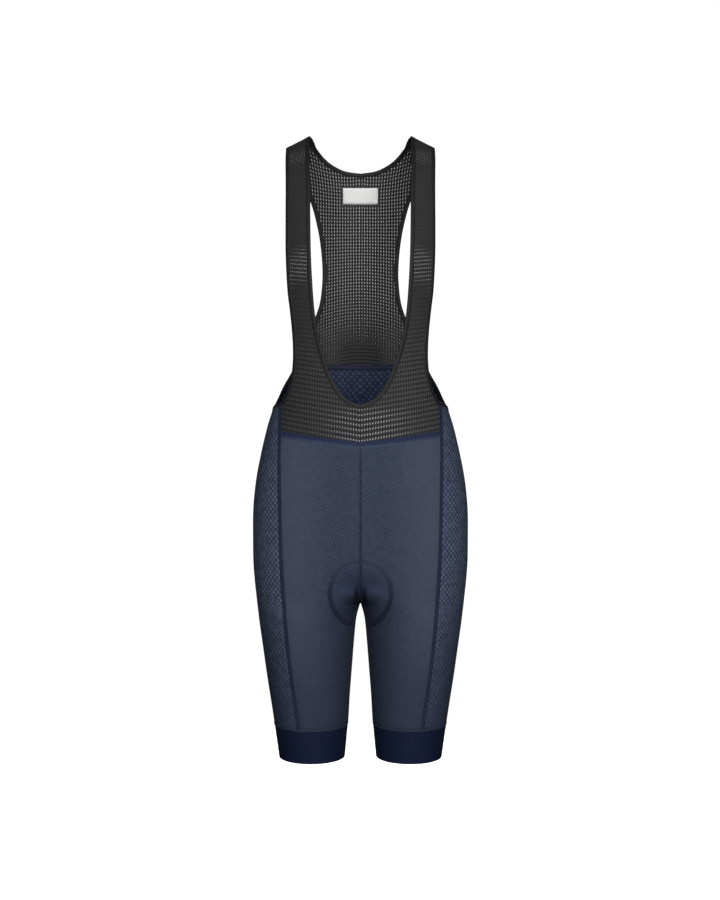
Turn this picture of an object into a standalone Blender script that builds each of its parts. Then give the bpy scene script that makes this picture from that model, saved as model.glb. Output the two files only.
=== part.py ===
"""Cycling bib shorts, filled out as worn, with nobody in them.

Frame: metres, +Z up, +X to the wearer's left, and the front faces -Y.  The origin
is where the shoulders carry the garment, midway between the two shoulder seams.

Every piece of cloth lies on one skin.  A point of the right half of the skin has
two numbers: its turn, from 0 at the front centre to 1 at the back centre, and its
section, counted down the table of sections from the shoulder to the leg hem.  The
sections are half rings down to the crotch and whole leg rings below it.
"""

import math

import bmesh
import bpy
from mathutils import Vector

NAME = "cycling_bib_shorts"
MM = 0.001

# Cloth sizes, in metres.
SEAM_GAP = 0.0004           # between two panels that are sewn together
NET_WALL = 0.0012           # black net of the bib
KNIT_WALL = 0.0012          # blue knit of the shorts
BAND_WALL = 0.0016          # doubled leg band
BINDING_WALL = 0.0020       # elastic folded over an edge
BINDING_WIDTH = 0.0070
BINDING_PROUD = 0.0004      # how far the binding stands out of the net
TAPE_WIDTH = 0.0100         # tape over the front waist seam
TAPE_WALL = 0.0016
PAD_WALL = 0.0050
PAD_CLEARANCE = 0.0022      # between the seat pad and the knit outside it
LABEL_WALL = 0.0010

ROUNDNESS = 2.3             # of the half rings: 2 is an ellipse, more is squarer
HIP_ROUNDNESS = 2.65        # of the half rings just above the legs
LEG_ROUNDNESS = 2.05        # of the leg rings
SHOULDER_SLOPE = 0.51       # fall of the shoulder seam for each metre outwards
SHOULDER_MIDDLE = 0.097     # where along it the seam is at height 0
SLOPE_SECTIONS = 5          # the slope has faded out at this section
CROTCH = 21                 # section at which the half rings close into leg rings
HIP_SECTIONS = (12.0, 19.0) # between these the half rings change to suit the leg rings
LEG_SHIFT = 0.120           # how far a quarter turn shifts there
STEP = 0.001                # step in turn or section for measuring slopes
WELD = 0.000001             # places nearer than this are one

# Heights are those of the outer side and of the centre line or inseam.  "front" and
# "back" are the farthest reach each way, "middle" is where the widest point lies, and
# "leg" is 0 for a half ring of the body and 1 for a ring of one leg.  Millimetres.
COLUMNS = ("outer", "inner", "wide", "inseam", "front", "back", "middle", "leg")
SECTIONS = (
    (0, 0, 150, 0, 0, 0, 0, 0),
    (-7, -7, 150, 0, 26, 24, 0, 0),
    (-27, -27, 150, 0, 52, 46, 0, 0),
    (-60, -60, 150, 0, 75, 62, 0, 0),
    (-105, -105, 150, 0, 93, 76, 0, 0),
    (-160, -160, 150, 0, 106, 87, 0, 0),
    (-215, -215, 147, 0, 112, 90, 0, 0),
    (-270, -270, 141, 0, 109, 86, 0, 0),
    (-320, -320, 134, 0, 102, 79, 0, 0),
    (-365, -365, 131, 0, 97, 76, 0, 0),
    (-405, -405, 134, 0, 97, 80, 0, 0),
    (-440, -440, 144, 0, 101, 89, 0, 0),
    (-478, -478, 153, 0, 106, 100, 0, 0),
    (-520, -520, 161, 0, 110, 112, 0, 0),
    (-565, -565, 165.5, 0, 111, 121, 0, 0),
    (-610, -608, 166, 0, 110, 125, 1, 0),
    (-648, -643, 165.5, 0, 108, 124, 3, 0),
    (-677, -670, 163.5, 0, 105.5, 120.4, 6, 0.03),
    (-697, -689, 161.5, 0, 102, 115, 8, 0.12),
    (-712, -702, 160, 0, 98.7, 109.7, 9, 0.32),
    (-724, -710, 158.8, 0.2, 95, 104.7, 10, 0.64),
    (-735, -714, 157.7, 0.8, 91, 99.8, 10, 1),
    (-752, -735, 155.3, 6.5, 88.5, 95.5, 9, 1),
    (-778, -768, 151.5, 10, 84.5, 90, 8, 1),
    (-815, -812, 146.3, 13.5, 79.5, 83.5, 7, 1),
    (-855, -855, 140, 16.8, 74, 77, 6, 1),
    (-900, -900, 133, 19.5, 68, 70, 5, 1),
    (-950, -950, 126, 24, 60.5, 63.5, 4, 1),
)

# Edges and seams, as (distance from the centre, height) in millimetres.
NECK_FRONT = ((77.5, -30), (75.5, -80), (74.5, -140), (73.5, -185), (71, -235), (67.3, -277),
              (61.2, -311), (52.9, -341), (43.5, -366), (31.5, -388), (17, -402), (0, -408))
NECK_BACK = ((70, -1), (57, -15), (43, -25), (24, -33), (0, -36))
ARMHOLE_FRONT = ((114.5, -30), (113, -80), (112.5, -140), (112, -185), (109.5, -236), (106, -266),
                 (103, -296), (101.5, -327), (102.5, -352), (106, -372), (111.5, -389), (118.5, -402))
ARMHOLE_BACK = ((129.5, -396), (121, -375), (108, -350), (86, -300), (72.5, -263), (65, -238),
                (61.5, -205), (61.5, -180), (64, -150), (69, -120), (79, -83), (96, -45))
ARMHOLE_LOW = -0.409        # height of the armhole's lowest point, at the side
SHOULDER_INNER = 0.0783
SHOULDER_OUTER = 0.1150
BIB_LOW_SIDE = -0.4475      # height of the bib's lower edge at the side seam
BIB_LOW_CENTRE = -0.4640
SIDE_SEAM = ((-380, 120.5), (-452, 121.8), (-520, 121.3), (-587, 120), (-630, 118.8), (-674, 116.6),
             (-744, 111.5), (-813, 104.2), (-897, 93), (-950, 86))
YOKE_TOP = -0.341           # height of the seam between the back net and the yoke
YOKE_LOW = -0.455
YOKE_END_TURN = 0.555       # turn at which the yoke's seam meets the armhole
BAND_TOP = -0.899           # height of the seam above the leg band

BIB_FAN_START = -0.380      # height on the neck edge of the row that ends at the side seam
BIB_FAN_CORNER = -0.403     # and of the row that ends at the side seam's foot
WAIST_BOW = 1.25            # the waist seam's point is blunted by this power

# Seat pad: top, half width, height of the widest place, and lowest place.
PAD_FRONT = (-0.642, 0.0455, -0.687, -0.734)
PAD_BACK = (-0.606, 0.066, -0.665, -0.734)
PAD_WIDEST_TURN = 0.3
LABEL_SIZE = (0.056, 0.025)
LABEL_HEIGHT = -0.0705      # of the label's centre, on the back net
LABEL_CLEARANCE = 0.0003

# How finely each piece is divided.
FINE_POINTS = 400           # on an edge, before its parts pick theirs
BIB_ROWS = (34, 6, 10)      # beside the armhole, the side seam and the waist
BIB_COLUMNS = 5
BACK_ROWS = 28
BACK_NECK_ROWS = 11         # of those, beside the neck
BACK_COLUMNS = 9
YOKE_ROWS = 7
WAIST_POINTS = 10
FIRST_SHARED = 12.5         # first section that the front and the side panels share
CROTCH_NEAR = 17.0
UPPER_ROWS = 6
CROTCH_STEP = 0.5
CLOSE_ROWS = 13
LEG_ROWS = 5
FRONT_TOP_ROWS = 3
SIDE_TOP_ROWS = 5
SIDE_OVER_COLUMNS = 6
EASE = 1.3                  # crowding of columns towards the centre and the inseam
BAND_COLUMNS = 28
BAND_ROWS = 3
PAD_SPINE = 12
PAD_DROP_POINTS = 4
PAD_OUTLINE = 25
PAD_COLUMNS = 8
LABEL_GRID = (3, 4)

BLACK = (0.020, 0.020, 0.021, 1.0)
BINDING_BLACK = (0.012, 0.012, 0.013, 1.0)
BLUE = (0.036, 0.046, 0.078, 1.0)
BAND_BLUE = (0.010, 0.015, 0.035, 1.0)
PAD_BLUE = (0.028, 0.036, 0.060, 1.0)
WHITE = (0.75, 0.75, 0.74, 1.0)


def start_scene():
    """Empty the file and make the collection that holds the garment."""
    for old in list(bpy.data.objects):
        bpy.data.objects.remove(old, do_unlink=True)
    collection = bpy.data.collections.new(NAME)
    bpy.context.scene.collection.children.link(collection)
    return collection


# ---------------------------------------------------------------- the skin

def smooth(before, start, end, after, part):
    """Value at part of the way from start to end, on a curve through all four."""
    slope_start = (end - before) / 2
    slope_end = (after - start) / 2
    bend = 2 * start - 2 * end + slope_start + slope_end
    pull = 3 * end - 3 * start - 2 * slope_start - slope_end
    return ((bend * part + pull) * part + slope_start) * part + start


def table_row(index):
    """A row of SECTIONS; above the shoulder the table is reflected in it."""
    if index < 0:
        row = list(SECTIONS[-index])
        row[4] = -row[4]
        row[5] = -row[5]
        return row
    return SECTIONS[min(index, len(SECTIONS) - 1)]


def section_sizes(section):
    """The sizes of one section, by name, in metres (and leg as a share)."""
    index = min(int(section), len(SECTIONS) - 2)
    rows = [table_row(index + step) for step in (-1, 0, 1, 2)]
    values = [smooth(*[row[column] for row in rows], section - index)
              for column in range(len(COLUMNS))]
    sizes = {name: value * MM for name, value in zip(COLUMNS, values)}
    sizes["leg"] = min(1.0, max(0.0, values[-1]))
    return sizes


def signed_power(value, power):
    return math.copysign(abs(value) ** power, value)


def slope_share(section):
    """How much of the shoulder's slope is left at a section."""
    if section >= SLOPE_SECTIONS:
        return 0.0
    return math.cos(math.pi / 2 * section / SLOPE_SECTIONS) ** 2


def hip_share(section):
    """0 above the hips and 1 just above the legs."""
    high, low = HIP_SECTIONS
    share = min(1.0, max(0.0, (section - high) / (low - high)))
    return share * share * (3 - 2 * share)


def body_turn(turn, section):
    """The turn on a half ring that lies opposite a turn on the leg ring below it."""
    shift = LEG_SHIFT * math.sin(2 * math.pi * turn) ** 2 * hip_share(section)
    ahead = 0 < turn % 1 < 0.5
    return turn - shift if ahead else turn + shift


def skin(turn, section):
    """The point of the right half of the skin at a turn and a section."""
    size = section_sizes(section)
    power = 2 / (ROUNDNESS + (HIP_ROUNDNESS - ROUNDNESS) * hip_share(section))
    middle = size["middle"]
    around = math.pi * body_turn(turn, section)
    body_x = size["wide"] * signed_power(math.sin(around), power)
    ahead = signed_power(math.cos(around), power)
    reach = size["front"] + middle if ahead > 0 else size["back"] - middle
    body_y = middle - reach * ahead

    power = 2 / LEG_ROUNDNESS
    half = (size["wide"] - size["inseam"]) / 2
    leg_x = size["inseam"] + half - half * signed_power(math.cos(2 * math.pi * turn), power)
    side = signed_power(math.sin(2 * math.pi * turn), power)
    reach = size["front"] + middle if side > 0 else size["back"] - middle
    leg_y = middle - reach * side

    leg = size["leg"]
    x = body_x + (leg_x - body_x) * leg
    y = body_y + (leg_y - body_y) * leg
    outward = math.sin(math.pi * turn) ** 2
    z = size["inner"] + (size["outer"] - size["inner"]) * outward
    z += SHOULDER_SLOPE * (SHOULDER_MIDDLE - abs(x)) * slope_share(section)
    return Vector((x, y, z))


def slopes(turn, section):
    """How the skin's point moves with the turn and with the section."""
    last = len(SECTIONS) - 1
    low = max(0.0, section - STEP)
    high = min(last, section + STEP)
    along = (skin(turn + STEP, section) - skin(turn - STEP, section)) / (2 * STEP)
    if min(turn, 1 - turn) < STEP and section < CROTCH:
        along = Vector((1.0, 0.0, 0.0)) * (1 if turn < 0.5 else -1)
    down = (skin(turn, high) - skin(turn, low)) / (high - low)
    return along, down


def outward(turn, section):
    """Unit vector out of the cloth."""
    along, down = slopes(turn, section)
    return down.cross(along).normalized()


def locate(distance, height, back=False):
    """Turn and section of the body's point at a distance from the centre and a height."""
    low, high = 0.0, CROTCH - 4.0
    for _ in range(40):
        section = (low + high) / 2
        size = section_sizes(section)
        shift = SHOULDER_SLOPE * (SHOULDER_MIDDLE - distance) * slope_share(section)
        if size["inner"] + shift > height:
            low = section
        else:
            high = section
    share = min(1.0, distance / size["wide"])
    turn = math.asin(share ** (ROUNDNESS / 2)) / math.pi
    return (1 - turn if back else turn), section


def at_height(turn, height):
    """Section at which one turn reaches a height."""
    low, high = 0.0, len(SECTIONS) - 1.0
    for _ in range(40):
        section = (low + high) / 2
        if skin(turn, section).z > height:
            low = section
        else:
            high = section
    return section


def seam_distance(height):
    """Distance of the side seam from the centre at a height."""
    heights = [row[0] * MM for row in SIDE_SEAM]
    for index in range(len(SIDE_SEAM) - 1):
        if height >= heights[index + 1] or index == len(SIDE_SEAM) - 2:
            break
    part = (height - heights[index]) / (heights[index + 1] - heights[index])
    rows = [SIDE_SEAM[min(max(index + step, 0), len(SIDE_SEAM) - 1)][1] * MM for step in (-1, 0, 1, 2)]
    return smooth(*rows, min(1.0, max(0.0, part)))


def seam_turn(section):
    """Turn of the side seam at a section."""
    low, high = 0.02, 0.5
    for _ in range(40):
        turn = (low + high) / 2
        point = skin(turn, section)
        if point.x < seam_distance(point.z):
            low = turn
        else:
            high = turn
    return turn


# ---------------------------------------------------------------- lines on the skin
# A line is a list of (turn, section) pairs.

def distance_between(first, second):
    return (skin(*first) - skin(*second)).length


def blend(first, second, part):
    return tuple(a + (b - a) * part for a, b in zip(first, second))


def even_line(line, count):
    """The same line with count points, evenly spaced along the cloth."""
    lengths = [0.0]
    for first, second in zip(line, line[1:]):
        lengths.append(lengths[-1] + distance_between(first, second))
    result = []
    place = 0
    for number in range(count):
        goal = lengths[-1] * number / (count - 1)
        while place < len(line) - 2 and lengths[place + 1] < goal:
            place += 1
        span = lengths[place + 1] - lengths[place]
        part = min(1.0, max(0.0, (goal - lengths[place]) / span)) if span else 0.0
        result.append(blend(line[place], line[place + 1], part))
    return result


def curved(points, fine=6):
    """A smooth line through points, with fine steps between each two."""
    last = len(points) - 1
    result = []
    for index in range(last):
        near = [points[min(max(index + step, 0), last)] for step in (-1, 0, 1, 2)]
        for number in range(fine):
            values = [smooth(*[point[axis] for point in near], number / fine) for axis in (0, 1)]
            result.append(tuple(values))
    result.append(points[last])
    return result


def edge_line(rows, back):
    """A smooth line through a table of (distance, height) rows in millimetres."""
    return [locate(distance * MM, height * MM, back) for distance, height in curved(rows)]


def shoulder_turn(distance, back=False):
    turn = math.asin((distance / (SECTIONS[0][2] * MM)) ** (ROUNDNESS / 2)) / math.pi
    return 1 - turn if back else turn


def moved_in(line, width):
    """The line moved across the cloth by a width, to the left seen from outside."""
    result = []
    last = len(line) - 1
    for index, (turn, section) in enumerate(line):
        before = skin(*line[max(index - 1, 0)])
        after = skin(*line[min(index + 1, last)])
        along, down = slopes(turn, section)
        normal = down.cross(along).normalized()
        across = normal.cross(after - before).normalized() * width
        # across = a * along + b * down, solved in the cloth's own plane
        aa, ab, bb = along.dot(along), along.dot(down), down.dot(down)
        ca, cb = across.dot(along), across.dot(down)
        area = aa * bb - ab * ab
        result.append((turn + (ca * bb - cb * ab) / area, section + (cb * aa - ca * ab) / area))
    return result


# ---------------------------------------------------------------- cloth from lines

def patch(top, bottom, left, right):
    """Rows of pairs that fill the space between four lines.

    top and bottom run from left to right, left and right from top to bottom.
    """
    rows = []
    for i, (left_end, right_end) in enumerate(zip(left, right)):
        down = i / (len(left) - 1)
        row = []
        for j, (high, low) in enumerate(zip(top, bottom)):
            over = j / (len(top) - 1)
            pair = []
            for axis in (0, 1):
                edges = (high[axis] * (1 - down) + low[axis] * down
                         + left_end[axis] * (1 - over) + right_end[axis] * over)
                corners = ((top[0][axis] * (1 - over) + top[-1][axis] * over) * (1 - down)
                           + (bottom[0][axis] * (1 - over) + bottom[-1][axis] * over) * down)
                pair.append(edges - corners)
            row.append(tuple(pair))
        rows.append(row)
    return rows


def placed(rows):
    """(point, outward) for each pair of some rows."""
    return [[(skin(*pair), outward(*pair)) for pair in row] for row in rows]


def mirrored(rows):
    """The same places on the other half of the garment."""
    def flip(vector):
        return Vector((-vector.x, vector.y, vector.z))
    return [[(flip(point), flip(normal)) for point, normal in row] for row in rows]


def pull_place(old, towards):
    """A place moved by half a seam's gap towards its neighbour."""
    point, normal = old
    return point + (towards[0] - point).normalized() * (SEAM_GAP / 2), normal


def pulled(places, ends):
    """The places with each named end pulled in along the cloth by half a seam's gap."""
    grid = [list(row) for row in places]
    if "left" in ends:
        for row in grid:
            row[0] = pull_place(row[0], row[1])
    if "right" in ends:
        for row in grid:
            row[-1] = pull_place(row[-1], row[-2])
    if "top" in ends:
        grid[0] = [pull_place(old, near) for old, near in zip(grid[0], grid[1])]
    if "bottom" in ends:
        grid[-1] = [pull_place(old, near) for old, near in zip(grid[-1], grid[-2])]
    return grid


def wall(patches, thickness, lift=0.0):
    """A closed wall of cloth over some grids of places, as a bmesh.

    Places that coincide are one, so patches that share a line are joined there.
    The wall's outer face stands lift out of the places.
    """
    mesh = bmesh.new()
    corners = {}
    partner = {}

    def corner(point, normal):
        key = tuple(round(value / WELD) for value in point)
        if key not in corners:
            outer = mesh.verts.new(point + normal * lift)
            corners[key] = outer
            partner[outer] = mesh.verts.new(point + normal * (lift - thickness))
        return corners[key]

    outer_faces = []
    for places in patches:
        grid = [[corner(*place) for place in row] for row in places]
        for upper, lower in zip(grid, grid[1:]):
            for j in range(len(upper) - 1):
                ring = [upper[j], upper[j + 1], lower[j + 1], lower[j]]
                if (ring[0].co - ring[2].co).length > (ring[1].co - ring[3].co).length:
                    ring = ring[1:] + ring[:1]
                for triangle in (ring[:3], [ring[2], ring[3], ring[0]]):
                    outer_faces.append(mesh.faces.new(triangle))
                    mesh.faces.new([partner[vertex] for vertex in reversed(triangle)])
    rim = [edge for face in outer_faces for edge in face.edges if len(edge.link_faces) == 1]
    for edge in rim:
        first, second = edge.verts
        mesh.faces.new((first, second, partner[second], partner[first]))
    return mesh


def add_piece(name, mesh, colour, roughness, collection):
    """Turn a bmesh into a named object with its own material."""
    bmesh.ops.recalc_face_normals(mesh, faces=mesh.faces[:])
    data = bpy.data.meshes.new(name)
    mesh.to_mesh(data)
    mesh.free()
    data.shade_smooth()
    data.set_sharp_from_angle(angle=math.radians(40))
    material = bpy.data.materials.new(name)
    material.use_nodes = True
    shader = material.node_tree.nodes["Principled BSDF"]
    shader.inputs["Base Color"].default_value = colour
    shader.inputs["Roughness"].default_value = roughness
    shader.inputs["Metallic"].default_value = 0.0
    data.materials.append(material)
    collection.objects.link(bpy.data.objects.new(name, data))


# ---------------------------------------------------------------- the edges

def picked(first, last, count):
    """Numbers from first to last in a fine line, evenly spaced."""
    return [round(first + (last - first) * number / (count - 1)) for number in range(count)]


def joined(*parts):
    """One list of parts that each start where the one before ends."""
    whole = list(parts[0])
    for part in parts[1:]:
        whole += part[1:]
    return whole


def first_where(line, test):
    """Number of the first point of a line for which a test holds."""
    for number, pair in enumerate(line):
        if test(pair):
            return number
    return len(line) - 1


def beside(edge, side):
    """An edge, its binding's inner edge, and the edge of the cloth beside the binding.

    side is 1 where the cloth lies to the left of the edge, seen from outside, else -1.
    Ends on the shoulder seam and on the centre line stay on them.
    """
    lines = [edge]
    for width in (BINDING_WIDTH, BINDING_WIDTH + SEAM_GAP):
        line = moved_in(edge, side * width)
        for end in (0, -1):
            turn, section = edge[end]
            if section == 0.0:
                outwards = 1 if skin(*line[end]).x > skin(*edge[end]).x else -1
                line[end] = (shoulder_turn(skin(*edge[end]).x + outwards * width, turn > 0.5), 0.0)
            elif turn in (0.0, 1.0):
                line[end] = (turn, line[end][1])
        lines.append(line)
    return list(zip(*lines))


def neck_lines():
    """The neck edge with its inner lines, in parts: beside the armhole, the side seam
    and the waist in front, and then the back."""
    front = [(shoulder_turn(SHOULDER_INNER), 0.0)] + edge_line(NECK_FRONT, back=False)
    back = [(shoulder_turn(SHOULDER_INNER, True), 0.0)] + edge_line(NECK_BACK, back=True)
    front = beside(even_line(front, FINE_POINTS), 1)
    back = beside(even_line(back, FINE_POINTS), -1)
    fan = first_where(front, lambda lines: skin(*lines[-1]).z < BIB_FAN_START)
    foot = first_where(front, lambda lines: skin(*lines[-1]).z < BIB_FAN_CORNER)
    strap, beside_seam, beside_waist = BIB_ROWS
    parts = (picked(0, fan, strap), picked(fan, foot, beside_seam),
             picked(foot, FINE_POINTS - 1, beside_waist))
    front_parts = [[front[n] for n in part] for part in parts]
    return front_parts, [back[n] for n in picked(0, FINE_POINTS - 1, BACK_NECK_ROWS)]


def arm_lines():
    """The armhole edge with its inner lines, down the front and up the back, in parts:
    beside the bib, the side panel, the yoke and the back net."""
    arm_front = [(shoulder_turn(SHOULDER_OUTER), 0.0)] + edge_line(ARMHOLE_FRONT, back=False)
    arm_back = edge_line(ARMHOLE_BACK, back=True) + [(shoulder_turn(SHOULDER_OUTER, True), 0.0)]
    side = (0.5, at_height(0.5, ARMHOLE_LOW))
    under = curved([arm_front[-2], arm_front[-1], side, arm_back[0], arm_back[1]])
    edge = beside(even_line(arm_front[:-2] + under + arm_back[2:], FINE_POINTS * 2), -1)
    seam = first_where(edge, lambda lines: skin(*lines[-1]).x > seam_distance(skin(*lines[-1]).z))
    yoke_end = first_where(edge, lambda lines: lines[-1][0] > YOKE_END_TURN)
    net_end = first_where(edge, lambda lines: lines[-1][0] > YOKE_END_TURN
                          and skin(*lines[-1]).z > YOKE_TOP)
    parts = (picked(0, seam, BIB_ROWS[0]), picked(seam, yoke_end, SIDE_OVER_COLUMNS),
             picked(yoke_end, net_end, YOKE_ROWS), picked(net_end, len(edge) - 1, BACK_ROWS))
    return [[edge[n] for n in part] for part in parts]


def cloth_edge(part):
    return [lines[-1] for lines in part]


def binding(parts):
    """Places across the binding, from the edge to its inner edge."""
    return placed([lines[:2] for lines in joined(*parts)])


def seam_line(high, low, count=12):
    """The side seam between two sections."""
    sections = [high + (low - high) * number / (count - 1) for number in range(count)]
    return [(seam_turn(section), section) for section in sections]


def waist_line(drop):
    """The bib's lower edge from the centre to the side seam, moved down by a drop."""
    low_side = BIB_LOW_SIDE - drop
    low_centre = BIB_LOW_CENTRE - drop
    side = seam_distance(low_side)
    line = []
    for number in range(WAIST_POINTS):
        share = number / (WAIST_POINTS - 1)
        height = low_centre + (low_side - low_centre) * share ** WAIST_BOW
        line.append(locate(side * share, height))
    return line


def centre_line(turn, high, low, count):
    """A line down one turn between two sections."""
    return [(turn, high + (low - high) * number / (count - 1)) for number in range(count)]


# ---------------------------------------------------------------- the pieces

def bib_front(neck_parts, arm_part):
    """Half of the front net: a strap and the panel below the neck.

    Its rows fan round the neck: each runs from the neck binding to the armhole, the
    side seam or the waist.
    """
    waist = waist_line(0.0)[::-1]
    arm = cloth_edge(arm_part)
    beside_seam = seam_line(arm[-1][1], waist[0][1], BIB_ROWS[1])
    beside_seam[0] = arm[-1]
    right = joined(arm, beside_seam, waist)
    left = joined(*[cloth_edge(part) for part in neck_parts])
    top = even_line([left[0], right[0]], BIB_COLUMNS)
    bottom = even_line([left[-1], right[-1]], BIB_COLUMNS)
    rows = pulled(placed(patch(top, bottom, left, right)), ("top",))
    for row in rows[-BIB_ROWS[1] - BIB_ROWS[2] + 2:]:
        row[-1] = pull_place(row[-1], row[-2])
    rows[-1] = [on_centre(place) for place in rows[-1]]
    return rows


def on_centre(place):
    point, normal = place
    return (Vector((0.0, point.y, point.z)), Vector((0.0, normal.y, normal.z)).normalized())


def upright(rows):
    """The rows with their first or last places, which lie on the centre, exactly on it."""
    return [[on_centre(row[0])] + row[1:] for row in rows]


def back_net(neck_part, arm_part):
    """Right half of the back net.

    Its rows fan like the front's: from the neck and then the centre line to the armhole.
    """
    neck = cloth_edge(neck_part)
    right = cloth_edge(arm_part)[::-1]
    low = (1.0, at_height(1.0, YOKE_TOP))
    left = joined(neck, centre_line(1.0, neck[-1][1], low[1], len(right) - len(neck) + 1))
    top = even_line([left[0], right[0]], BACK_COLUMNS)
    bottom = even_line([low, right[-1]], BACK_COLUMNS)
    rows = pulled(placed(patch(top, bottom, left, right)), ("top", "bottom"))
    centre = upright(rows[len(neck) - 1:])
    return rows[:len(neck) - 1] + centre


def yoke(arm_part):
    """Right half of the yoke, between the back net and the seat."""
    right = cloth_edge(arm_part)[::-1]
    left = centre_line(1.0, at_height(1.0, YOKE_TOP), at_height(1.0, YOKE_LOW), YOKE_ROWS)
    top = even_line([left[0], right[0]], BACK_COLUMNS)
    bottom = even_line([left[-1], right[-1]], BACK_COLUMNS)
    return upright(pulled(placed(patch(top, bottom, left, right)), ("top", "bottom")))


def shared_sections():
    """Sections whose rows the front and the side panels both have."""
    band = at_height(0.5, BAND_TOP)
    loose = [FIRST_SHARED + (CROTCH_NEAR - FIRST_SHARED) * n / UPPER_ROWS for n in range(UPPER_ROWS)]
    close = [CROTCH_NEAR + CROTCH_STEP * n for n in range(CLOSE_ROWS)]
    start = close[-1] + CROTCH_STEP
    legs = [start + (band - start) * n / LEG_ROWS for n in range(LEG_ROWS + 1)]
    return loose + close + legs


def front_panel():
    """The front of one leg, from the centre seam and the inseam to the side seam."""
    top = waist_line(TAPE_WIDTH)
    shared = shared_sections()
    left = joined(centre_line(0.0, top[0][1], shared[0], FRONT_TOP_ROWS), [(0.0, s) for s in shared])
    right = joined(seam_line(top[-1][1], shared[0], FRONT_TOP_ROWS), [(seam_turn(s), s) for s in shared])
    bottom = eased_line(left[-1], right[-1], len(top), 1 / EASE)
    rows = patch(top, bottom, left, right)
    return pulled(placed(rows), ("left", "right", "top", "bottom"))


def eased_line(start, end, count, power):
    """A straight line whose points crowd towards one end."""
    return [blend(start, end, 1 - (1 - number / (count - 1)) ** power) for number in range(count)]


def side_panel(arm_part):
    """The side and the back of one leg, round to the centre back and the inseam."""
    over_side = cloth_edge(arm_part)
    centre_low = (1.0, at_height(1.0, YOKE_LOW))
    seat = even_line([centre_low, over_side[-1]], BACK_COLUMNS)[::-1]
    top = joined(over_side, seat)
    shared = shared_sections()
    left = joined(seam_line(top[0][1], shared[0], SIDE_TOP_ROWS), [(seam_turn(s), s) for s in shared])
    left[0] = top[0]
    right = joined(centre_line(1.0, centre_low[1], shared[0], SIDE_TOP_ROWS), [(1.0, s) for s in shared])
    bottom = eased_line(left[-1], right[-1], len(top), EASE)
    places = pulled(placed(patch(top, bottom, left, right)), ("left", "right", "bottom"))
    last_over = len(over_side) - 1
    seat_top = [pull_place(old, near) for old, near in zip(places[0], places[1])]
    return [places[0][:last_over] + seat_top[last_over:]] + places[1:]


def leg_band():
    """The tube of doubled knit at the end of one leg."""
    high = at_height(0.5, BAND_TOP)
    low = len(SECTIONS) - 1.0
    rows = [[(j / BAND_COLUMNS, high + (low - high) * i / (BAND_ROWS - 1)) for j in range(BAND_COLUMNS)]
            for i in range(BAND_ROWS)]
    places = pulled(placed(rows), ("top",))
    return [row + row[:1] for row in places]


def waist_tape():
    """Right half of the tape between the front net and the front panels."""
    rows = [waist_line(0.0), waist_line(TAPE_WIDTH)]
    return upright(pulled(placed(rows), ("right", "top", "bottom")))


def find(distance, height, back):
    """Turn and section of a point near the crotch, seen from the front or the back."""
    low, high = float(CROTCH - 8), float(CROTCH + 4)
    for _ in range(30):
        section = (low + high) / 2
        near, far = 0.0, PAD_WIDEST_TURN
        for _ in range(30):
            turn = (near + far) / 2
            if skin(1 - turn if back else turn, section).x < distance:
                near = turn
            else:
                far = turn
        if skin(1 - turn if back else turn, section).z > height:
            low = section
        else:
            high = section
    return (1 - turn if back else turn), section


def pad_quarter(back):
    """The pad's right half ahead of the inseam, or behind it."""
    top, reach, middle, bottom = PAD_BACK if back else PAD_FRONT
    centre_turn = 1.0 if back else 0.0
    drop = at_height(0.0, bottom)
    summit = at_height(centre_turn, top)
    spine = (centre_line(centre_turn, summit, float(CROTCH), PAD_SPINE)
             + centre_line(centre_turn, float(CROTCH), drop, PAD_DROP_POINTS)[1:])
    outline = [(centre_turn, summit)]
    for number in range(1, PAD_OUTLINE - 1):
        angle = math.pi * number / (PAD_OUTLINE - 1)
        rise = (top - middle) if angle < math.pi / 2 else (middle - bottom)
        outline.append(find(reach * math.sin(angle), middle + rise * math.cos(angle), back))
    outline.append((centre_turn, drop))
    count = len(spine)
    across = even_line(outline, count + 2 * (PAD_COLUMNS - 1))
    top_line = across[:PAD_COLUMNS]
    right = across[PAD_COLUMNS - 1:PAD_COLUMNS - 1 + count]
    bottom_line = across[PAD_COLUMNS - 2 + count:][::-1]
    places = placed(patch(top_line, bottom_line, spine, right))
    for row in places[:PAD_SPINE]:
        row[0] = on_centre(row[0])
    return places


def label():
    """A plain label inside the back net."""
    wide, high = LABEL_SIZE
    rows = []
    for i in range(LABEL_GRID[0]):
        height = LABEL_HEIGHT + high * (0.5 - i / (LABEL_GRID[0] - 1))
        rows.append([locate(wide / 2 * j / (LABEL_GRID[1] - 1), height, True)
                     for j in range(LABEL_GRID[1])])
    return upright(placed(rows))


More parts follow.
